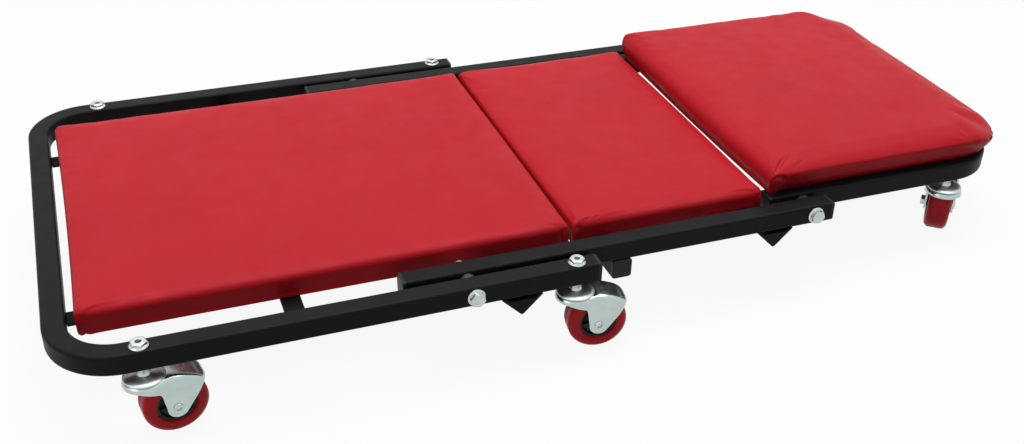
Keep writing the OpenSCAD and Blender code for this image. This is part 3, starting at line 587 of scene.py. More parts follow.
def make_wheel(key, side):
    at = at_axle(key, side)
    body = f"wheel_{key}_{side}"
    tyre = [moved(tyre_part(), at)]
    piece(f"cast_tyre_{key}_{side}", tyre, "wheel_red", body, [f"tyre_{key}_{side}"], 50)
    hub = [moved(hub_part(), at)]
    for i in range(RIBS):
        spoke = at @ Matrix.Rotation(radians(360 / RIBS * i + RIB_ANGLE), 4, "Z")
        hub += [moved(rib_part(sign), spoke) for sign in (-1, 1)]
    piece(f"moulded_hub_{key}_{side}", hub, "hub_plastic", body, [f"hub_{key}_{side}"], 40)


def rivet_part():
    """Axle, its end outside the fork spread into a hollow rivet."""
    end = HALF_W
    profile = [(3.0, -end), (3.0, end), (4.5, end), (4.45, end + 0.7), (4.0, end + 1.3), (3.2, end + 1.55),
               (2.5, end + 1.35), (2.2, end + 0.8), (2.1, end - 1.2), (1.9, end - 2.2), (0.01, end - 2.3)]
    return lathe(profile, 48)


def axle_head_part():
    return hexed([
        ("o", 3.0, 0), ("x", 10, 0), ("x", 10, 2.9), ("c", 10, 4.0, 4.75), ("o", 4.75, 4.0), ("o", 4.2, 3.75),
        ("o", 0.01, 3.75)])


def make_axle(key, side):
    at = at_axle(key, side)
    flip = Matrix.Translation((0, 0, -HALF_W)) @ Matrix.Rotation(pi, 4, "X")
    parts = [moved(rivet_part(), at), moved(axle_head_part(), at @ flip)]
    body = f"fork_{key}_{side}"
    piece(f"riveted_axle_{key}_{side}", parts, "fastener_zinc", body, [f"axle_{key}_{side}"], 40)


# Fasteners: widths across the flats, and radii of bores, shanks and threads
FLATS, COLLAR_FLATS = 12.7, 10
BORE_R, SHANK_R, THREAD_R, ROOT_R, THREAD_STEP = 4.05, 4.0, 3.95, 3.5, 1.0
RAIL_FLANGE_R, PIVOT_FLANGE_R = 8.3, 8.5
# Riveted head of the king pin, under the fork's roof
KING_Z, KING_R, KING_H = 55.9, 6.5, 2.0
# How far the stems end below the nuts' tops, and above the casters under the head frame
STEM_SUNK, HEAD_STEM = 4.0, 13.5
NUT_ANGLE = 0.2


def cup_part():
    """Domed cup over the swivel's balls, its rim rolled in."""
    top, low = CASTER_H - COLLAR_H, DISC_Z + 0.3
    profile = [(4.1, top - 1.2), (7.4, top - 1.2), (13.5, top - 2.4), (16.4, low + 1.0), (16.7, low),
               (17.3, low - 0.02), (17.85, low + 0.2), (18.0, low + 0.7), (17.9, low + 1.15)]
    profile += [tuple(p) for p in bend((17.6, low + 1.5), (15.6, top - 0.35), (10.4, top - 0.12), 9)]
    profile += [(8.2, top), (4.1, top)]
    return lathe(profile, 96, True)


def stem_profile(top, threaded):
    """Stem above the collar; a threaded one is bare up to the rail's top and slightly domed."""
    stem = [(SHANK_R, CASTER_H - 0.5)]
    if threaded:
        z = RAIL_TOP + 0.4
        stem.append((SHANK_R, z))
        while z < top - 0.9:
            stem += [(THREAD_R, z + 0.15), (ROOT_R, z + 0.55), (THREAD_R, z + 0.95)]
            z += THREAD_STEP
        stem += [(3.6, top - 0.35), (3.0, top)]
    else:
        stem += [(SHANK_R, top - 0.5), (ROOT_R, top)]
    return stem + [(1.4, top + 0.05), (0.01, top + 0.05)]


def collar_parts(top, threaded):
    """King pin with its six-sided collar, the stem above it and the riveted end below."""
    under, flat = CASTER_H - COLLAR_H, CASTER_H - COLLAR_H / 2
    collar = hexed([
        ("o", KING_R, KING_Z), ("o", KING_R, KING_Z + KING_H), ("o", SHANK_R, KING_Z + KING_H),
        ("o", SHANK_R, under), ("o", 6.4, under), ("o", 6.2, under + 0.6), ("o", 5.3, flat - 1.4),
        ("x", COLLAR_FLATS, flat - 1.1), ("x", COLLAR_FLATS, CASTER_H), ("o", SHANK_R, CASTER_H)])
    end = lathe([(0.01, KING_Z - 0.1), (4.5, KING_Z - 0.1), (KING_R, KING_Z)], 48)
    return [collar, lathe(stem_profile(top, threaded), 48), end]


def nut_part(flange_r, h, mouth):
    """Flanged nut with a chamfered top; its bore opens upwards through a mouth."""
    top_r = FLATS / 2 - 0.75
    return hexed([
        ("o", BORE_R, 0), ("o", flange_r - 0.3, 0), ("o", flange_r, 0.3), ("o", flange_r, 0.8),
        ("o", flange_r - 0.5, 1.25), ("o", FLATS / 2 + 0.9, 1.9), ("x", FLATS, 2.1), ("x", FLATS, h - 1.3),
        ("c", FLATS, h, top_r), ("o", top_r, h), ("o", mouth + 0.45, h), ("o", mouth, h - 0.5),
        ("o", mouth, h - 1.6), ("o", BORE_R, h - 1.9), ("o", BORE_R, 0.2)])


def bolt_head_part(flange_r, h):
    """Flanged bolt head, its top a shallow dish."""
    r = FLATS / 2 - 0.55
    return hexed([
        ("o", 0.01, 0), ("o", flange_r - 0.3, 0), ("o", flange_r, 0.3), ("o", flange_r, 0.9),
        ("o", flange_r - 0.6, 1.35), ("o", FLATS / 2 + 1.0, 1.9), ("x", FLATS, 2.1), ("x", FLATS, h - 1.2),
        ("c", FLATS, h, r), ("o", r, h), ("o", r - 0.5, h - 0.05), ("o", r - 1.0, h - 0.3),
        ("o", 0.01, h - 0.35)])


def at_casters(body):
    """Upright place of each caster that a body carries, on both sides."""
    return [place(x, y, 0, 0, mirror) for x, y, _, owner in CASTERS.values() if owner == body
            for mirror in SIDES.values()]


def make_caster_fittings():
    for body in ("base", "head"):
        cups = [moved(cup_part(), m) for m in at_casters(body)]
        piece(f"{body}_bearing_cups", cups, "cup_zinc", body, [f"{body}_caster_cups"], 60)
    for body, top, threaded in (("base", NUT_TOP - STEM_SUNK, True), ("head", CASTER_H + HEAD_STEM, False)):
        stems = [moved(p, m) for m in at_casters(body) for p in collar_parts(top, threaded)]
        piece(f"{body}_threaded_stems", stems, "fastener_zinc", body, [f"{body}_caster_stems"], 35)
    on_rail = Matrix.Translation((0, 0, RAIL_TOP)) @ Matrix.Rotation(NUT_ANGLE, 4, "Z")
    nuts = [moved(nut_part(RAIL_FLANGE_R, 5.0, 2.6), m @ on_rail) for m in at_casters("base")]
    piece("base_flanged_nuts", nuts, "fastener_zinc", "base", ["base_caster_nuts"], 28)


# Pivots: each hinge's place along the creeper, the half width over its rails and the body of its bolts
PIVOTS = {"base": (364.0, 238.0, "base"), "head": (731.0, 211.0, "middle")}
RAIL_GAP, PIVOT_Z = 7.0, 82.0
# From the outer rail's face to the nut's flange and to the bolt's end
NUT_REACH = 2 * TUBE + RAIL_GAP + 0.3
BOLT_REACH = 2 * TUBE + RAIL_GAP + 7.3
# Angle to which the near bolt is turned, and how much further the far one is
BOLT_ANGLE, BOLT_ANGLE_STEP = 0.35, 0.3


def bolt_shank_part():
    """Shank of a pivot bolt below its head, threaded from two tubes' width on."""
    shank = [(SHANK_R, 0.0), (SHANK_R, -2 * TUBE)]
    z = -2 * TUBE
    while z > -BOLT_REACH + 1.0:
        shank += [(THREAD_R, z - 0.15), (ROOT_R, z - 0.5), (THREAD_R, z - 0.9)]
        z -= THREAD_STEP
    shank += [(3.2, -BOLT_REACH + 0.2), (2.8, -BOLT_REACH), (0.01, -BOLT_REACH)]
    return lathe(shank[::-1], 40)


def make_pivots():
    bolt = (bolt_head_part(PIVOT_FLANGE_R, 6.5), bolt_shank_part())
    locking = lathe([(5.4, 4.6), (5.4, 5.7), (5.0, 6.0), (4.5, 6.0), (4.2, 5.7), (4.1, 4.6)], 48)
    nut = (nut_part(PIVOT_FLANGE_R, 5.2, 4.15), locking)
    for key, (x, hw, body) in PIVOTS.items():
        bolts, nuts = [], []
        for mirror in SIDES.values():
            spin = Matrix.Rotation(BOLT_ANGLE + BOLT_ANGLE_STEP * mirror, 4, "Z")
            out = place(x, -hw, PIVOT_Z, 0, mirror, Matrix.Rotation(pi / 2, 4, "X") @ spin)
            into = place(x, NUT_REACH - hw, PIVOT_Z, 0, mirror, Matrix.Rotation(-pi / 2, 4, "X"))
            bolts += [moved(p, out) for p in bolt]
            nuts += [moved(p, into) for p in nut]
        piece(f"{key}_hinge_bolts", bolts, "fastener_zinc", body, [f"{key}_pivot_bolts"], 28)
        piece(f"{key}_hinge_nuts", nuts, "fastener_zinc", body, [f"{key}_pivot_nuts"], 28)


# Pads. Their corners count from the near one at the foot end towards the head end and back on the far side,
# and each side has the number of the corner it starts from.
BARS_TOP = 75.0
BOARD_LIFT = 0.3
CORNER_STEPS = 12
TOP_GRID = 6.5
# How far the columns along a side crowd towards its corners
CROWDING = 0.65
# A corner wider than this radius has a lower crest half way round, and its level top begins further in
WIDE_CORNER, WIDE_DROP, WIDE_IN = 30, 3, 12
CROWN_POWER = 3.5
# Inset and height of each row of the hem under the board, and of the curl round its edge
HEM, HEM_Z = 26.0, -0.46
HEM_ROWS = ((HEM, -0.1), (HEM, -0.42), (HEM - 6, HEM_Z), (HEM - 12, HEM_Z))
CURL_ROWS = ((4.5, HEM_Z), (2.2, -0.4), (0.9, -0.05), (0.25, 0.8), (0.0, 2.2))
HELD_ROWS = len(HEM_ROWS) + len(CURL_ROWS)
SIDE_ROWS, TOP_ROWS = 10, 15
# How much of the crown's lift the rim and the rows below it share
RIM_LIFTS = ((1, 1.0), (2, 0.75), (3, 0.4), (4, 0.15))
# For each side: height of the crest, how far the side is tucked in below it, how far it leans in just above
# it, and how far in the level top begins
FLAT_SIDES = ((19.0, 2.4, 0.6, 7.5), (18.5, 1.6, 0.4, 6.5), (19.0, 2.0, 0.6, 7.5), (18.5, 1.8, 0.4, 7.0))
HEAD_SIDES = ((23.0, 10.5, 6.0, 27.0), (14.0, 5.0, 7.0, 38.0), (20.0, 5.0, 1.0, 11.0), (16.0, 4.0, 0.6, 14.0))
FLAT_PAD = dict(height=25.5, crown=2.0, floor=BARS_TOP, sides=FLAT_SIDES)
# box is both ends and the half width; draws are how far the middles of the sides are drawn in
PADS = {
    "base": dict(FLAT_PAD, box=(25.6, 479.2, 180.0), radii=(9, 4, 4, 9), draws=(0.4, -0.9, 0.4, 2.0),
                 counts=(110, 90)),
    "middle": dict(FLAT_PAD, box=(480.3, 690.0, 180.0), radii=(4, 8, 8, 4), draws=(0.4, -0.7, 0.4, -0.9),
                   counts=(70, 90)),
    "head": dict(box=(692.8, 996.0, 183.2), radii=(6, 60, 60, 6), draws=(0.3, 1.2, 0.3, -2.8),
                 counts=(90, 90), height=30.5, crown=3.0, floor=RAIL_TOP, sides=HEAD_SIDES),
}


def pad_columns(pad):
    """For each column of a pad's side: its corner, the angle it faces, its share of the way to the next."""
    cols = []
    for k in range(4):
        turn = 180 + 90 * k
        cols += [(k, radians(turn + 90 * i / CORNER_STEPS), 0.0) for i in range(CORNER_STEPS + 1)]
        n = pad["counts"][k % 2]
        even = np.arange(1, n) / n
        crowded = (1 - CROWDING) * even + CROWDING * (0.5 - 0.5 * np.cos(pi * even))
        cols += [(k, radians(turn + 90), t) for t in crowded]
    return np.array(cols)


def pad_outline(pad, cols, inset):
    """Outline seen from above and its normals, set in by one length or by one for each column."""
    x0, x1, hw = pad["box"]
    corner, angle, share = cols[:, 0].astype(int), cols[:, 1], cols[:, 2]
    normal = np.column_stack([np.cos(angle), np.sin(angle)])

    def rim(i):
        full = np.array(pad["radii"], float)[i]
        r = np.maximum(full - inset, 0.35 * inset + 1)
        x = np.where((i == 1) | (i == 2), x1 - inset - r, x0 + inset + r)
        y = np.where(i > 1, 1, -1) * (hw - inset - r)
        return np.column_stack([x, y]) + normal * r[:, None]

    start, end = rim(corner), rim((corner + 1) % 4)
    draw = np.array(pad["draws"])[corner] * np.sin(pi * share) ** 0.7
    return start + (end - start) * share[:, None] - normal * draw[:, None], normal


def pad_rows(pad, cols):
    """Insets and heights of the rows up a pad's side, from the hem under the board to the level top."""
    _, normal = pad_outline(pad, cols, np.zeros(len(cols)))
    facing = np.column_stack([-normal[:, 1], normal[:, 0], normal[:, 1], -normal[:, 0]])
    weights = np.clip(facing, 0, 1) ** 2
    crest, tuck, lean, top_in = (weights @ np.array(pad["sides"], float)).T
    high = pad["height"]
    wide = 4 * weights[:, 1] * (1 - weights[:, 1]) * (max(pad["radii"]) > WIDE_CORNER)
    crest, top_in = crest - WIDE_DROP * wide, top_in + WIDE_IN * wide
    level = np.zeros(len(cols))
    rows = [(level + e, level + z) for e, z in HEM_ROWS]
    rows += [(tuck + e, level + z) for e, z in CURL_ROWS]
    foot = CURL_ROWS[-1][1]
    rows += [(tuck * (1 - t) ** 1.5, foot + (crest - foot) * t) for t in np.linspace(0, 1, SIDE_ROWS)[1:]]
    shoulder = high - 0.06 * (high - crest)
    for t in np.linspace(0, 1, TOP_ROWS)[1:]:
        rows.append((2 * t * (1 - t) * lean + t * t * top_in,
                     (1 - t) ** 2 * crest + 2 * t * (1 - t) * shoulder + t * t * high))
    table = np.array(rows)
    soft = table.copy()
    k = HELD_ROWS + 1
    soft[k:-1] = (table[k - 1:-2] + 2 * table[k:-1] + table[k + 1:]) / 4
    return soft


def pad_crown(pad, xy):
    x0, x1, hw = pad["box"]
    u = np.abs(2 * (xy[:, 0] - x0) / (x1 - x0) - 1)
    v = np.abs(xy[:, 1] / hw)
    return pad["crown"] * (1 - np.minimum(u, 1) ** CROWN_POWER) * (1 - np.minimum(v, 1) ** CROWN_POWER)


def inside(xy, loop):
    """Which points lie inside a closed outline."""
    x, y = xy[:, :1], xy[:, 1:]
    p, q = loop, np.roll(loop, -1, 0)
    crosses = (p[:, 1] > y) != (q[:, 1] > y)
    reach = p[:, 0] + (y - p[:, 1]) * (q[:, 0] - p[:, 0]) / (q[:, 1] - p[:, 1] + 1e-12)
    return (crosses & (x < reach)).sum(1) % 2 == 1


def top_grid(rim, clear):
    """Points of an even grid over the top, within the outline that keeps them clear of its rim."""
    axes = [np.arange(a, b, TOP_GRID) for a, b in zip(rim.min(0), rim.max(0))]
    grid = np.stack(np.meshgrid(*axes), -1).reshape(-1, 2)
    return grid[inside(grid, clear)]


def fill_top(rim, grid, first):
    """Faces over the top, where the rim's points are numbered from first on, and the points it adds."""
    n = len(rim)
    loose = [Vector(p) for p in np.vstack([rim, grid]).tolist()]
    edges = [(i, (i + 1) % n) for i in range(n)]
    flat, _, triangles, origin, _, _ = delaunay_2d_cdt(loose, edges, [], 1, 1e-6)
    number, extra = {}, []
    for i, source in enumerate(origin):
        old = min(source) if source else -1
        if 0 <= old < n:
            number[i] = first + old
        else:
            number[i] = first + n + len(extra)
            extra.append(tuple(flat[i]))
    return [tuple(number[i] for i in face) for face in triangles], np.array(extra)


def pad_mesh(pad):
    """Pad in mm, open below within the board: rows up its side and a grid over its top."""
    cols = pad_columns(pad)
    n = len(cols)
    z0 = pad["floor"] + BOARD_LIFT
    rows = pad_rows(pad, cols)
    points = [np.column_stack([pad_outline(pad, cols, inset)[0], z0 + z]) for inset, z in rows]
    faces = ring_faces(len(points), n)
    rim = points[-1][:, :2]
    clear, _ = pad_outline(pad, cols, rows[-1][0] + 0.6 * TOP_GRID)
    top_faces, extra = fill_top(rim, top_grid(rim, clear), (len(points) - 1) * n)
    lift = pad_crown(pad, rim)
    for back, share in RIM_LIFTS:
        points[-back][:, 2] += lift * share
    points.append(np.column_stack([extra, z0 + pad["height"] + pad_crown(pad, extra)]))
    return np.vstack(points), faces + top_faces, n


# Cloth: its stiffnesses, what moves it, and the most that a point may move in mm
STRETCH, SHEAR, BENDING = 18, 9, 0.6
CLOTH_MASS, PRESSURE, SHRINK = 0.2, 4.0, -0.006
LAST_FRAME = 20
MOVE_CAP = 1.6


def all_points(obj):
    co = np.empty(len(obj.data.vertices) * 3)
    obj.data.vertices.foreach_get("co", co)
    return co


def swell(obj, pinned):
    """Lets the cover swell as cloth, with its hem held, and keeps each point within the cap."""
    held = obj.vertex_groups.new(name="hem")
    held.add(pinned, 1.0, "REPLACE")
    rest = all_points(obj)
    cloth = obj.modifiers.new("cloth", "CLOTH")
    s = cloth.settings
    s.quality = 3
    s.mass = CLOTH_MASS
    s.tension_stiffness = s.compression_stiffness = STRETCH
    s.shear_stiffness = SHEAR
    s.bending_stiffness = BENDING
    s.use_pressure = True
    s.uniform_pressure_force = PRESSURE
    s.vertex_group_mass = "hem"
    s.shrink_min = SHRINK
    s.effector_weights.gravity = 0
    cloth.collision_settings.use_collision = False
    scene = bpy.context.scene
    for f in range(1, LAST_FRAME + 1):
        scene.frame_set(f)
    apply_all(obj)
    scene.frame_set(1)
    move = (all_points(obj) - rest).reshape(-1, 3)
    length = np.linalg.norm(move, axis=1, keepdims=True)
    cap = MOVE_CAP * MM
    limit = cap * np.tanh(length / cap) / np.maximum(length, 1e-9)
    obj.data.vertices.foreach_set("co", (rest.reshape(-1, 3) + move * limit).ravel())
    obj.vertex_groups.clear()


def close_below(obj):
    """Fills the opening within the board with one flat face."""
    bm = bmesh.new()
    bm.from_mesh(obj.data)
    bmesh.ops.holes_fill(bm, edges=[e for e in bm.edges if e.is_boundary], sides=0)
    bmesh.ops.recalc_face_normals(bm, faces=bm.faces)
    bm.to_mesh(obj.data)
    bm.free()


def shape_points(obj, change):
    """Runs a change over a mesh's points and normals, given in mm from the foot end."""
    data = obj.data
    data.update()
    normals = np.empty(len(data.vertices) * 3)
    data.vertices.foreach_get("normal", normals)
    points = all_points(obj).reshape(-1, 3) / MM + (ORIGIN_X, 0, 0)
    points = change(points, normals.reshape(-1, 3))
    data.vertices.foreach_set("co", ((points - (ORIGIN_X, 0, 0)) * MM).ravel())
    data.update()


# Folds and waves: how sharply a crease falls off at its sides, and how deep the waves are
SHARP, ROUND = 1.3, 2
SIDE_WAVE, TOP_WAVE = 0.32, 0.16
# Pleats round a wide corner: angles of the upper and the lower end, their heights, and the depth
PLEATS = ((3, 15, 24.5, 1.0, 4.6), (15, 19, 20.0, 8.0, 3.2), (33, 35, 24.0, 0.0, 3.6),
          (47, 48, 20.0, 0.0, 2.0), (60, 58, 22.0, 0.0, 2.4), (74, 76, 19.0, 0.0, 1.5))
PLEAT_W, PLEAT_PROUD = 2.1, 0.5
# How far the cover is tucked in at the board, and the height where that begins
PLEAT_TUCK, PLEAT_TUCK_H = 9.0, 20
# The swelling beside each pleat: its width, its share of the pleat's depth, and its place from the pleat
BULGE_W, BULGE_SHARE, BULGE_ASIDE, BULGE_DOWN = 4.2, -0.42, 3.6, -2.0


def crease(points, normals, path, width, depth, power):
    """Presses a groove along a path; a depth below zero raises a ridge."""
    path = np.array(path, float)
    low, high = path.min(0) - 4 * width, path.max(0) + 4 * width
    near = np.where(np.all((points > low) & (points < high), axis=1))[0]
    p = points[near]
    best = np.full(len(p), 1e9)
    for a, b in zip(path[:-1], path[1:]):
        t = np.clip(((p - a) @ (b - a)) / max((b - a) @ (b - a), 1e-9), 0, 1)
        best = np.minimum(best, np.linalg.norm(p - a - t[:, None] * (b - a), axis=1))
    points[near] = p - normals[near] * (depth * np.exp(-(best / width) ** power))[:, None]
    return points


def wander(points, pad):
    """Slow waves in the vinyl: pulls towards the staples low on the sides, and a faint unevenness on top."""
    z = (points[:, 2] - pad["floor"]) / pad["height"]
    x, y = points[:, 0], points[:, 1]
    side = np.sin(x / 9.1) * np.sin(x / 23.7 + 1.3) + np.sin(y / 8.3 + 0.6) * np.sin(y / 19.1)
    low = np.clip(1 - z / 0.75, 0, 1) * (z > 0.03)
    top = np.sin(x / 41 + y / 57) * np.sin(y / 37 - x / 83 + 0.8) + 0.5 * np.sin(x / 19 - y / 29)
    return SIDE_WAVE * side * low + TOP_WAVE * top * np.clip((z - 0.9) * 10, 0, 1)


def corner_frame(pad, corner):
    """A corner's place, and the signs that carry there what is given for the near corner at the foot end."""
    x0, x1, hw = pad["box"]
    far, rear = corner in (1, 2), corner in (2, 3)
    at = np.array((x1 if far else x0, hw if rear else -hw, pad["floor"]))
    return at, np.array((-1 if far else 1, -1 if rear else 1, 1))


def press_folds(points, normals, pad, corner, size, folds):
    """Presses folds, each a path from the corner with a width, a depth and a power, at any corner."""
    at, sign = corner_frame(pad, corner)
    for path, width, depth, power in folds:
        points = crease(points, normals, at + sign * np.array(path, float), width, depth * size, power)
    return points


def tight_folds(pad):
    """The tuck of a nearly square corner: a dimple, a crease down each side, and two small lobes below."""
    top = pad["height"]
    return [
        (((5.5, 0.5, top - 4.5), (8.5, 0.2, top - 6.0)), 2.6, 1.5, SHARP),
        (((8.2, 0.5, top - 8), (9.6, 1.0, 11), (9.2, 2.2, 4), (8.6, 4, -0.5)), 1.5, 1.5, SHARP),
        (((0.6, 6.5, top - 8), (1.0, 7.4, 8), (2.2, 7.2, 0)), 1.6, 0.9, SHARP),
        (((4.0, 2.0, 14), (4.2, 3.0, 3)), 4.0, -0.9, ROUND),
        (((13.0, 1.0, 9), (13.5, 2.5, 3)), 3.4, -0.6, ROUND),
    ]


def ear_folds():
    """Rolled ear where the near side's cover is folded round the corner: lobe, loop, swelling and crease."""
    loop = ((3.0, 5.5, 0), (1.8, 3.0, 5), (1.2, 1.6, 11), (2.0, 0.6, 17), (4.5, 0.2, 21.5), (9.0, 0.0, 22.6),
            (13.5, 0.3, 20.6), (16.5, 1.2, 17.0))
    return [
        (((9.0, 2.0, 15), (10.5, 4.0, 8), (11.0, 7.0, 2)), 5.6, -2.8, ROUND),
        (loop, 2.1, 5.4, 1.6),
        (((4.2, 0.6, 25.0), (10.0, 0.4, 26.0), (18.0, 0.2, 25.0)), 2.6, -0.9, ROUND),
        (((5.5, 4.0, 8.0), (8.0, 6.0, 1.0)), 1.3, 1.2, SHARP),
    ]


def pleat_folds(r):
    """Pleats gathered round a wide corner, each with the swelling beside it."""
    folds = []
    for start, end, high, low, depth in PLEATS:
        pleat = []
        for t in np.linspace(0, 1, 6):
            a = radians(start + (end - start) * (1 - (1 - t) ** 2))
            z = high + (low - high) * t
            out = r + PLEAT_PROUD - PLEAT_TUCK * (1 - min(z / PLEAT_TUCK_H, 1)) ** 1.5
            pleat.append((r - out * sin(a), r - out * cos(a), z))
        a = radians(end)
        beside = np.array((-BULGE_ASIDE * cos(a), BULGE_ASIDE * sin(a), BULGE_DOWN))
        folds.append((pleat, PLEAT_W, depth, SHARP))
        folds.append((np.array(pleat[1:-1]) + beside, BULGE_W, BULGE_SHARE * depth, ROUND))
    return folds


def corner_folds(key):
    """Corners of a pad, each with the size of its folds and the folds."""
    pad = PADS[key]
    if key == "head":
        ear, pleats = ear_folds(), pleat_folds(max(pad["radii"]))
        return ((0, 1.0, ear), (3, 0.8, ear), (1, 1.0, pleats), (2, 0.9, pleats))
    tight = tight_folds(pad)
    return ((0, 1.0, tight), (1, 0.8, tight), (2, 0.9, tight), (3, 1.0, tight))


def make_pad(key):
    pad = PADS[key]
    points, faces, n = pad_mesh(pad)
    obj = make_mesh(f"{key}_vinyl_pad", [(points.tolist(), faces)], "red_vinyl")
    swell(obj, list(range(HELD_ROWS * n)))
    finer = obj.modifiers.new("finer", "SUBSURF")
    finer.levels = finer.render_levels = 1
    apply_all(obj)
    close_below(obj)

    def sculpt(points, normals):
        points = points + normals * wander(points, pad)[:, None]
        for corner, size, folds in corner_folds(key):
            points = press_folds(points, normals, pad, corner, size, folds)
        return points

    shape_points(obj, sculpt)
    smooth_shade(obj)
    attach(obj, "red_vinyl", key, f"{key}_pad")


BOARD_T, HEAD_BOARD_IN, BOARD_BEVEL = 9.0, 15.0, 0.8


def make_head_board():
    pad = PADS["head"]
    cols = pad_columns(pad)
    n = len(cols)
    rows = [(BOARD_BEVEL, 0.0), (0.0, BOARD_BEVEL), (0.0, BOARD_T - BOARD_BEVEL), (BOARD_BEVEL, BOARD_T)]
    rings = []
    for inset, z in rows:
        xy, _ = pad_outline(pad, cols, HEAD_BOARD_IN + inset)
        rings.append(np.column_stack([xy, np.full(n, pad["floor"] + z)]))
    faces = ring_faces(len(rings), n)
    faces += [tuple(reversed(range(n))), tuple(range((len(rings) - 1) * n, len(rings) * n))]
    board = (np.vstack(rings).tolist(), faces)
    piece("head_plywood_board", [board], "plywood", "head", ["head_pad_board"], 35)


# Staples: the wire; how far in they sit; how far apart, from the corners and askew, in degrees
STAPLE_W, STAPLE_D, STAPLE_H, STAPLE_LEG = 10.0, 1.2, 0.55, 0.6
STAPLE_IN_ENDS, STAPLE_IN_SIDES = 14.0, 18.0
STAPLE_STEP, STAPLE_CLEAR, STAPLE_SKEW = 36.0, 12, 4


def staple_part(z):
    """Staple across X whose crown stands under a hem at a height."""
    w, d = STAPLE_W / 2, STAPLE_D / 2
    wire = [(-w, z), (STAPLE_LEG - w, z - STAPLE_H), (w - STAPLE_LEG, z - STAPLE_H), (w, z)]
    pts = [(px, -d, pz) for px, pz in wire] + [(px, d, pz) for px, pz in wire]
    return pts, [(0, 1, 2, 3), (7, 6, 5, 4), (0, 4, 5, 1), (1, 5, 6, 2), (2, 6, 7, 3)]


def staple_line(start, end, pattern):
    """Even places along a side, each with one of five angles askew in an order that the pattern gives."""
    count = int((end - start) / STAPLE_STEP)
    return [(start + (end - start) * i / count, STAPLE_SKEW * ((i * pattern) % 5 - 2))
            for i in range(count + 1)]


def make_staples(key):
    """Staples that hold a pad's hem to its board, seen only from below."""
    pad = PADS[key]
    x0, x1, hw = pad["box"]
    staple = staple_part(pad["floor"] + BOARD_LIFT + HEM_Z)
    parts = []
    for y in (STAPLE_IN_SIDES - hw, hw - STAPLE_IN_SIDES):
        start, end = x0 + pad["radii"][0] + STAPLE_CLEAR, x1 - pad["radii"][1] - STAPLE_CLEAR
        parts += [moved(staple, place(x, y, 0, skew)) for x, skew in staple_line(start, end, 7)]
    reach = hw - max(pad["radii"]) - STAPLE_CLEAR
    for x in (x0 + STAPLE_IN_ENDS, x1 - STAPLE_IN_ENDS):
        parts += [moved(staple, place(x, y, 0, 90 + skew)) for y, skew in staple_line(-reach, reach, 3)]
    piece(f"{key}_hem_staples", parts, "fastener_zinc", key, [], 40)


# Stage. Lengths here are in metres.
FLOOR_HALF, FLOOR_DROP = 12, -0.0002
# Grey of the floor as the object's light bounces off it, and as the camera sees it
FLOOR_BOUNCE, FLOOR_SEEN = 0.30, 0.86
# Where the floor begins to turn plain white and where it is so, and the share of plain white near the middle
WHITER_FROM, WHITER_TO, WHITE_SHARE = 0.7, 2.2, 0.92
ROOM_LIGHT = 0.22
WHITE = (1, 1, 1, 1)
# Name, place, target, size and power
LAMPS = (("overhead", (0.1, 0.25, 2.1), (0, 0, 0), (2.4, 1.6), 46),
         ("left_fill", (-1.7, -0.7, 1.3), (0, 0, 0.05), (1.0, 0.8), 5))


def area_light(name, spot, target, size, power):
    data = bpy.data.lights.new(name, "AREA")
    data.shape = "RECTANGLE"
    data.size, data.size_y = size
    data.energy = power
    lamp = new_object(name, data)
    lamp.location = spot
    lamp.rotation_euler = (Vector(target) - Vector(spot)).to_track_quat("-Z", "Y").to_euler()


def blended(tree, share, first, second):
    mix = add_node(tree, "MixShader")
    for i, output in enumerate((share, first.outputs[0], second.outputs[0])):
        tree.links.new(output, mix.inputs[i])
    return mix


def seen_directly(tree):
    """1 for camera, glossy and transmission rays, else 0."""
    path = add_node(tree, "LightPath")
    seen = path.outputs["Is Camera Ray"]
    for other in ("Is Glossy Ray", "Is Transmission Ray"):
        either = add_node(tree, "Math")
        either.operation = "MAXIMUM"
        tree.links.new(seen, either.inputs[0])
        tree.links.new(path.outputs[other], either.inputs[1])
        seen = either.outputs[0]
    return seen


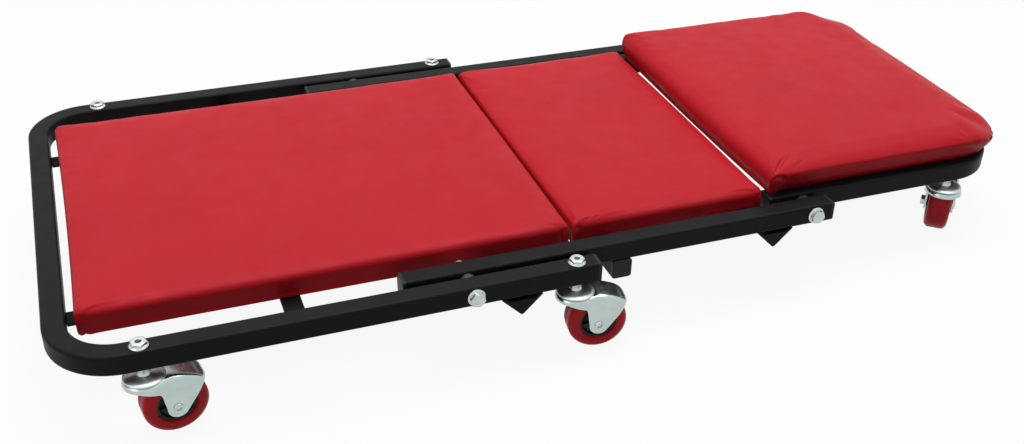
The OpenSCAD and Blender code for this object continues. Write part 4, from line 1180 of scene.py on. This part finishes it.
def whiter_far_off(tree):
    """Share of plain white in the floor, which reaches 1 well away, so that its end isn't seen."""
    away = add_node(tree, "VectorMath")
    away.operation = "LENGTH"
    tree.links.new(add_node(tree, "TexCoord").outputs["Object"], away.inputs[0])
    share = add_node(tree, "MapRange", Value=away.outputs["Value"], From_Min=WHITER_FROM,
                     From_Max=WHITER_TO, To_Min=WHITE_SHARE, To_Max=1.0)
    return share.outputs["Result"]


def floor_material():
    mat = bpy.data.materials.new("floor_white")
    mat.use_nodes = True
    tree = mat.node_tree
    bounce = add_node(tree, "BsdfDiffuse", Color=(*3 * [FLOOR_BOUNCE], 1))
    shaded = add_node(tree, "BsdfDiffuse", Color=(*3 * [FLOOR_SEEN], 1))
    pale = blended(tree, whiter_far_off(tree), shaded, add_node(tree, "Emission", Color=WHITE))
    surface = blended(tree, seen_directly(tree), bounce, pale)
    tree.links.new(surface.outputs[0], tree.nodes["Material Output"].inputs["Surface"])
    return mat


def make_floor():
    data = bpy.data.meshes.new("floor")
    corners = [(sx * FLOOR_HALF, sy * FLOOR_HALF, 0) for sx, sy in ((-1, -1), (1, -1), (1, 1), (-1, 1))]
    data.from_pydata(corners, [], [(0, 1, 2, 3)])
    floor = new_object("floor", data)
    floor.location.z = FLOOR_DROP
    data.materials.append(floor_material())


def make_room():
    """Even light from all round, and a white backdrop wherever the room is seen."""
    world = bpy.data.worlds.new("studio")
    world.use_nodes = True
    bpy.context.scene.world = world
    tree = world.node_tree
    tree.nodes.clear()
    room = add_node(tree, "Background", Color=WHITE, Strength=ROOM_LIGHT)
    surface = blended(tree, seen_directly(tree), room, add_node(tree, "Background", Color=WHITE, Strength=1))
    add_node(tree, "OutputWorld", Surface=surface.outputs[0])


def make_stage():
    make_floor()
    make_room()
    for name, spot, target, size, power in LAMPS:
        area_light(name, spot, target, size, power)
    bpy.context.scene.view_settings.view_transform = "Standard"


make_camera()
make_stage()
dress_cad()
for key in PADS:
    make_pad(key)
    make_staples(key)
make_head_board()
make_caster_fittings()
make_pivots()
for key in CASTERS:
    for side in SIDES:
        make_fork(key, side)
        make_wheel(key, side)
        make_axle(key, side)
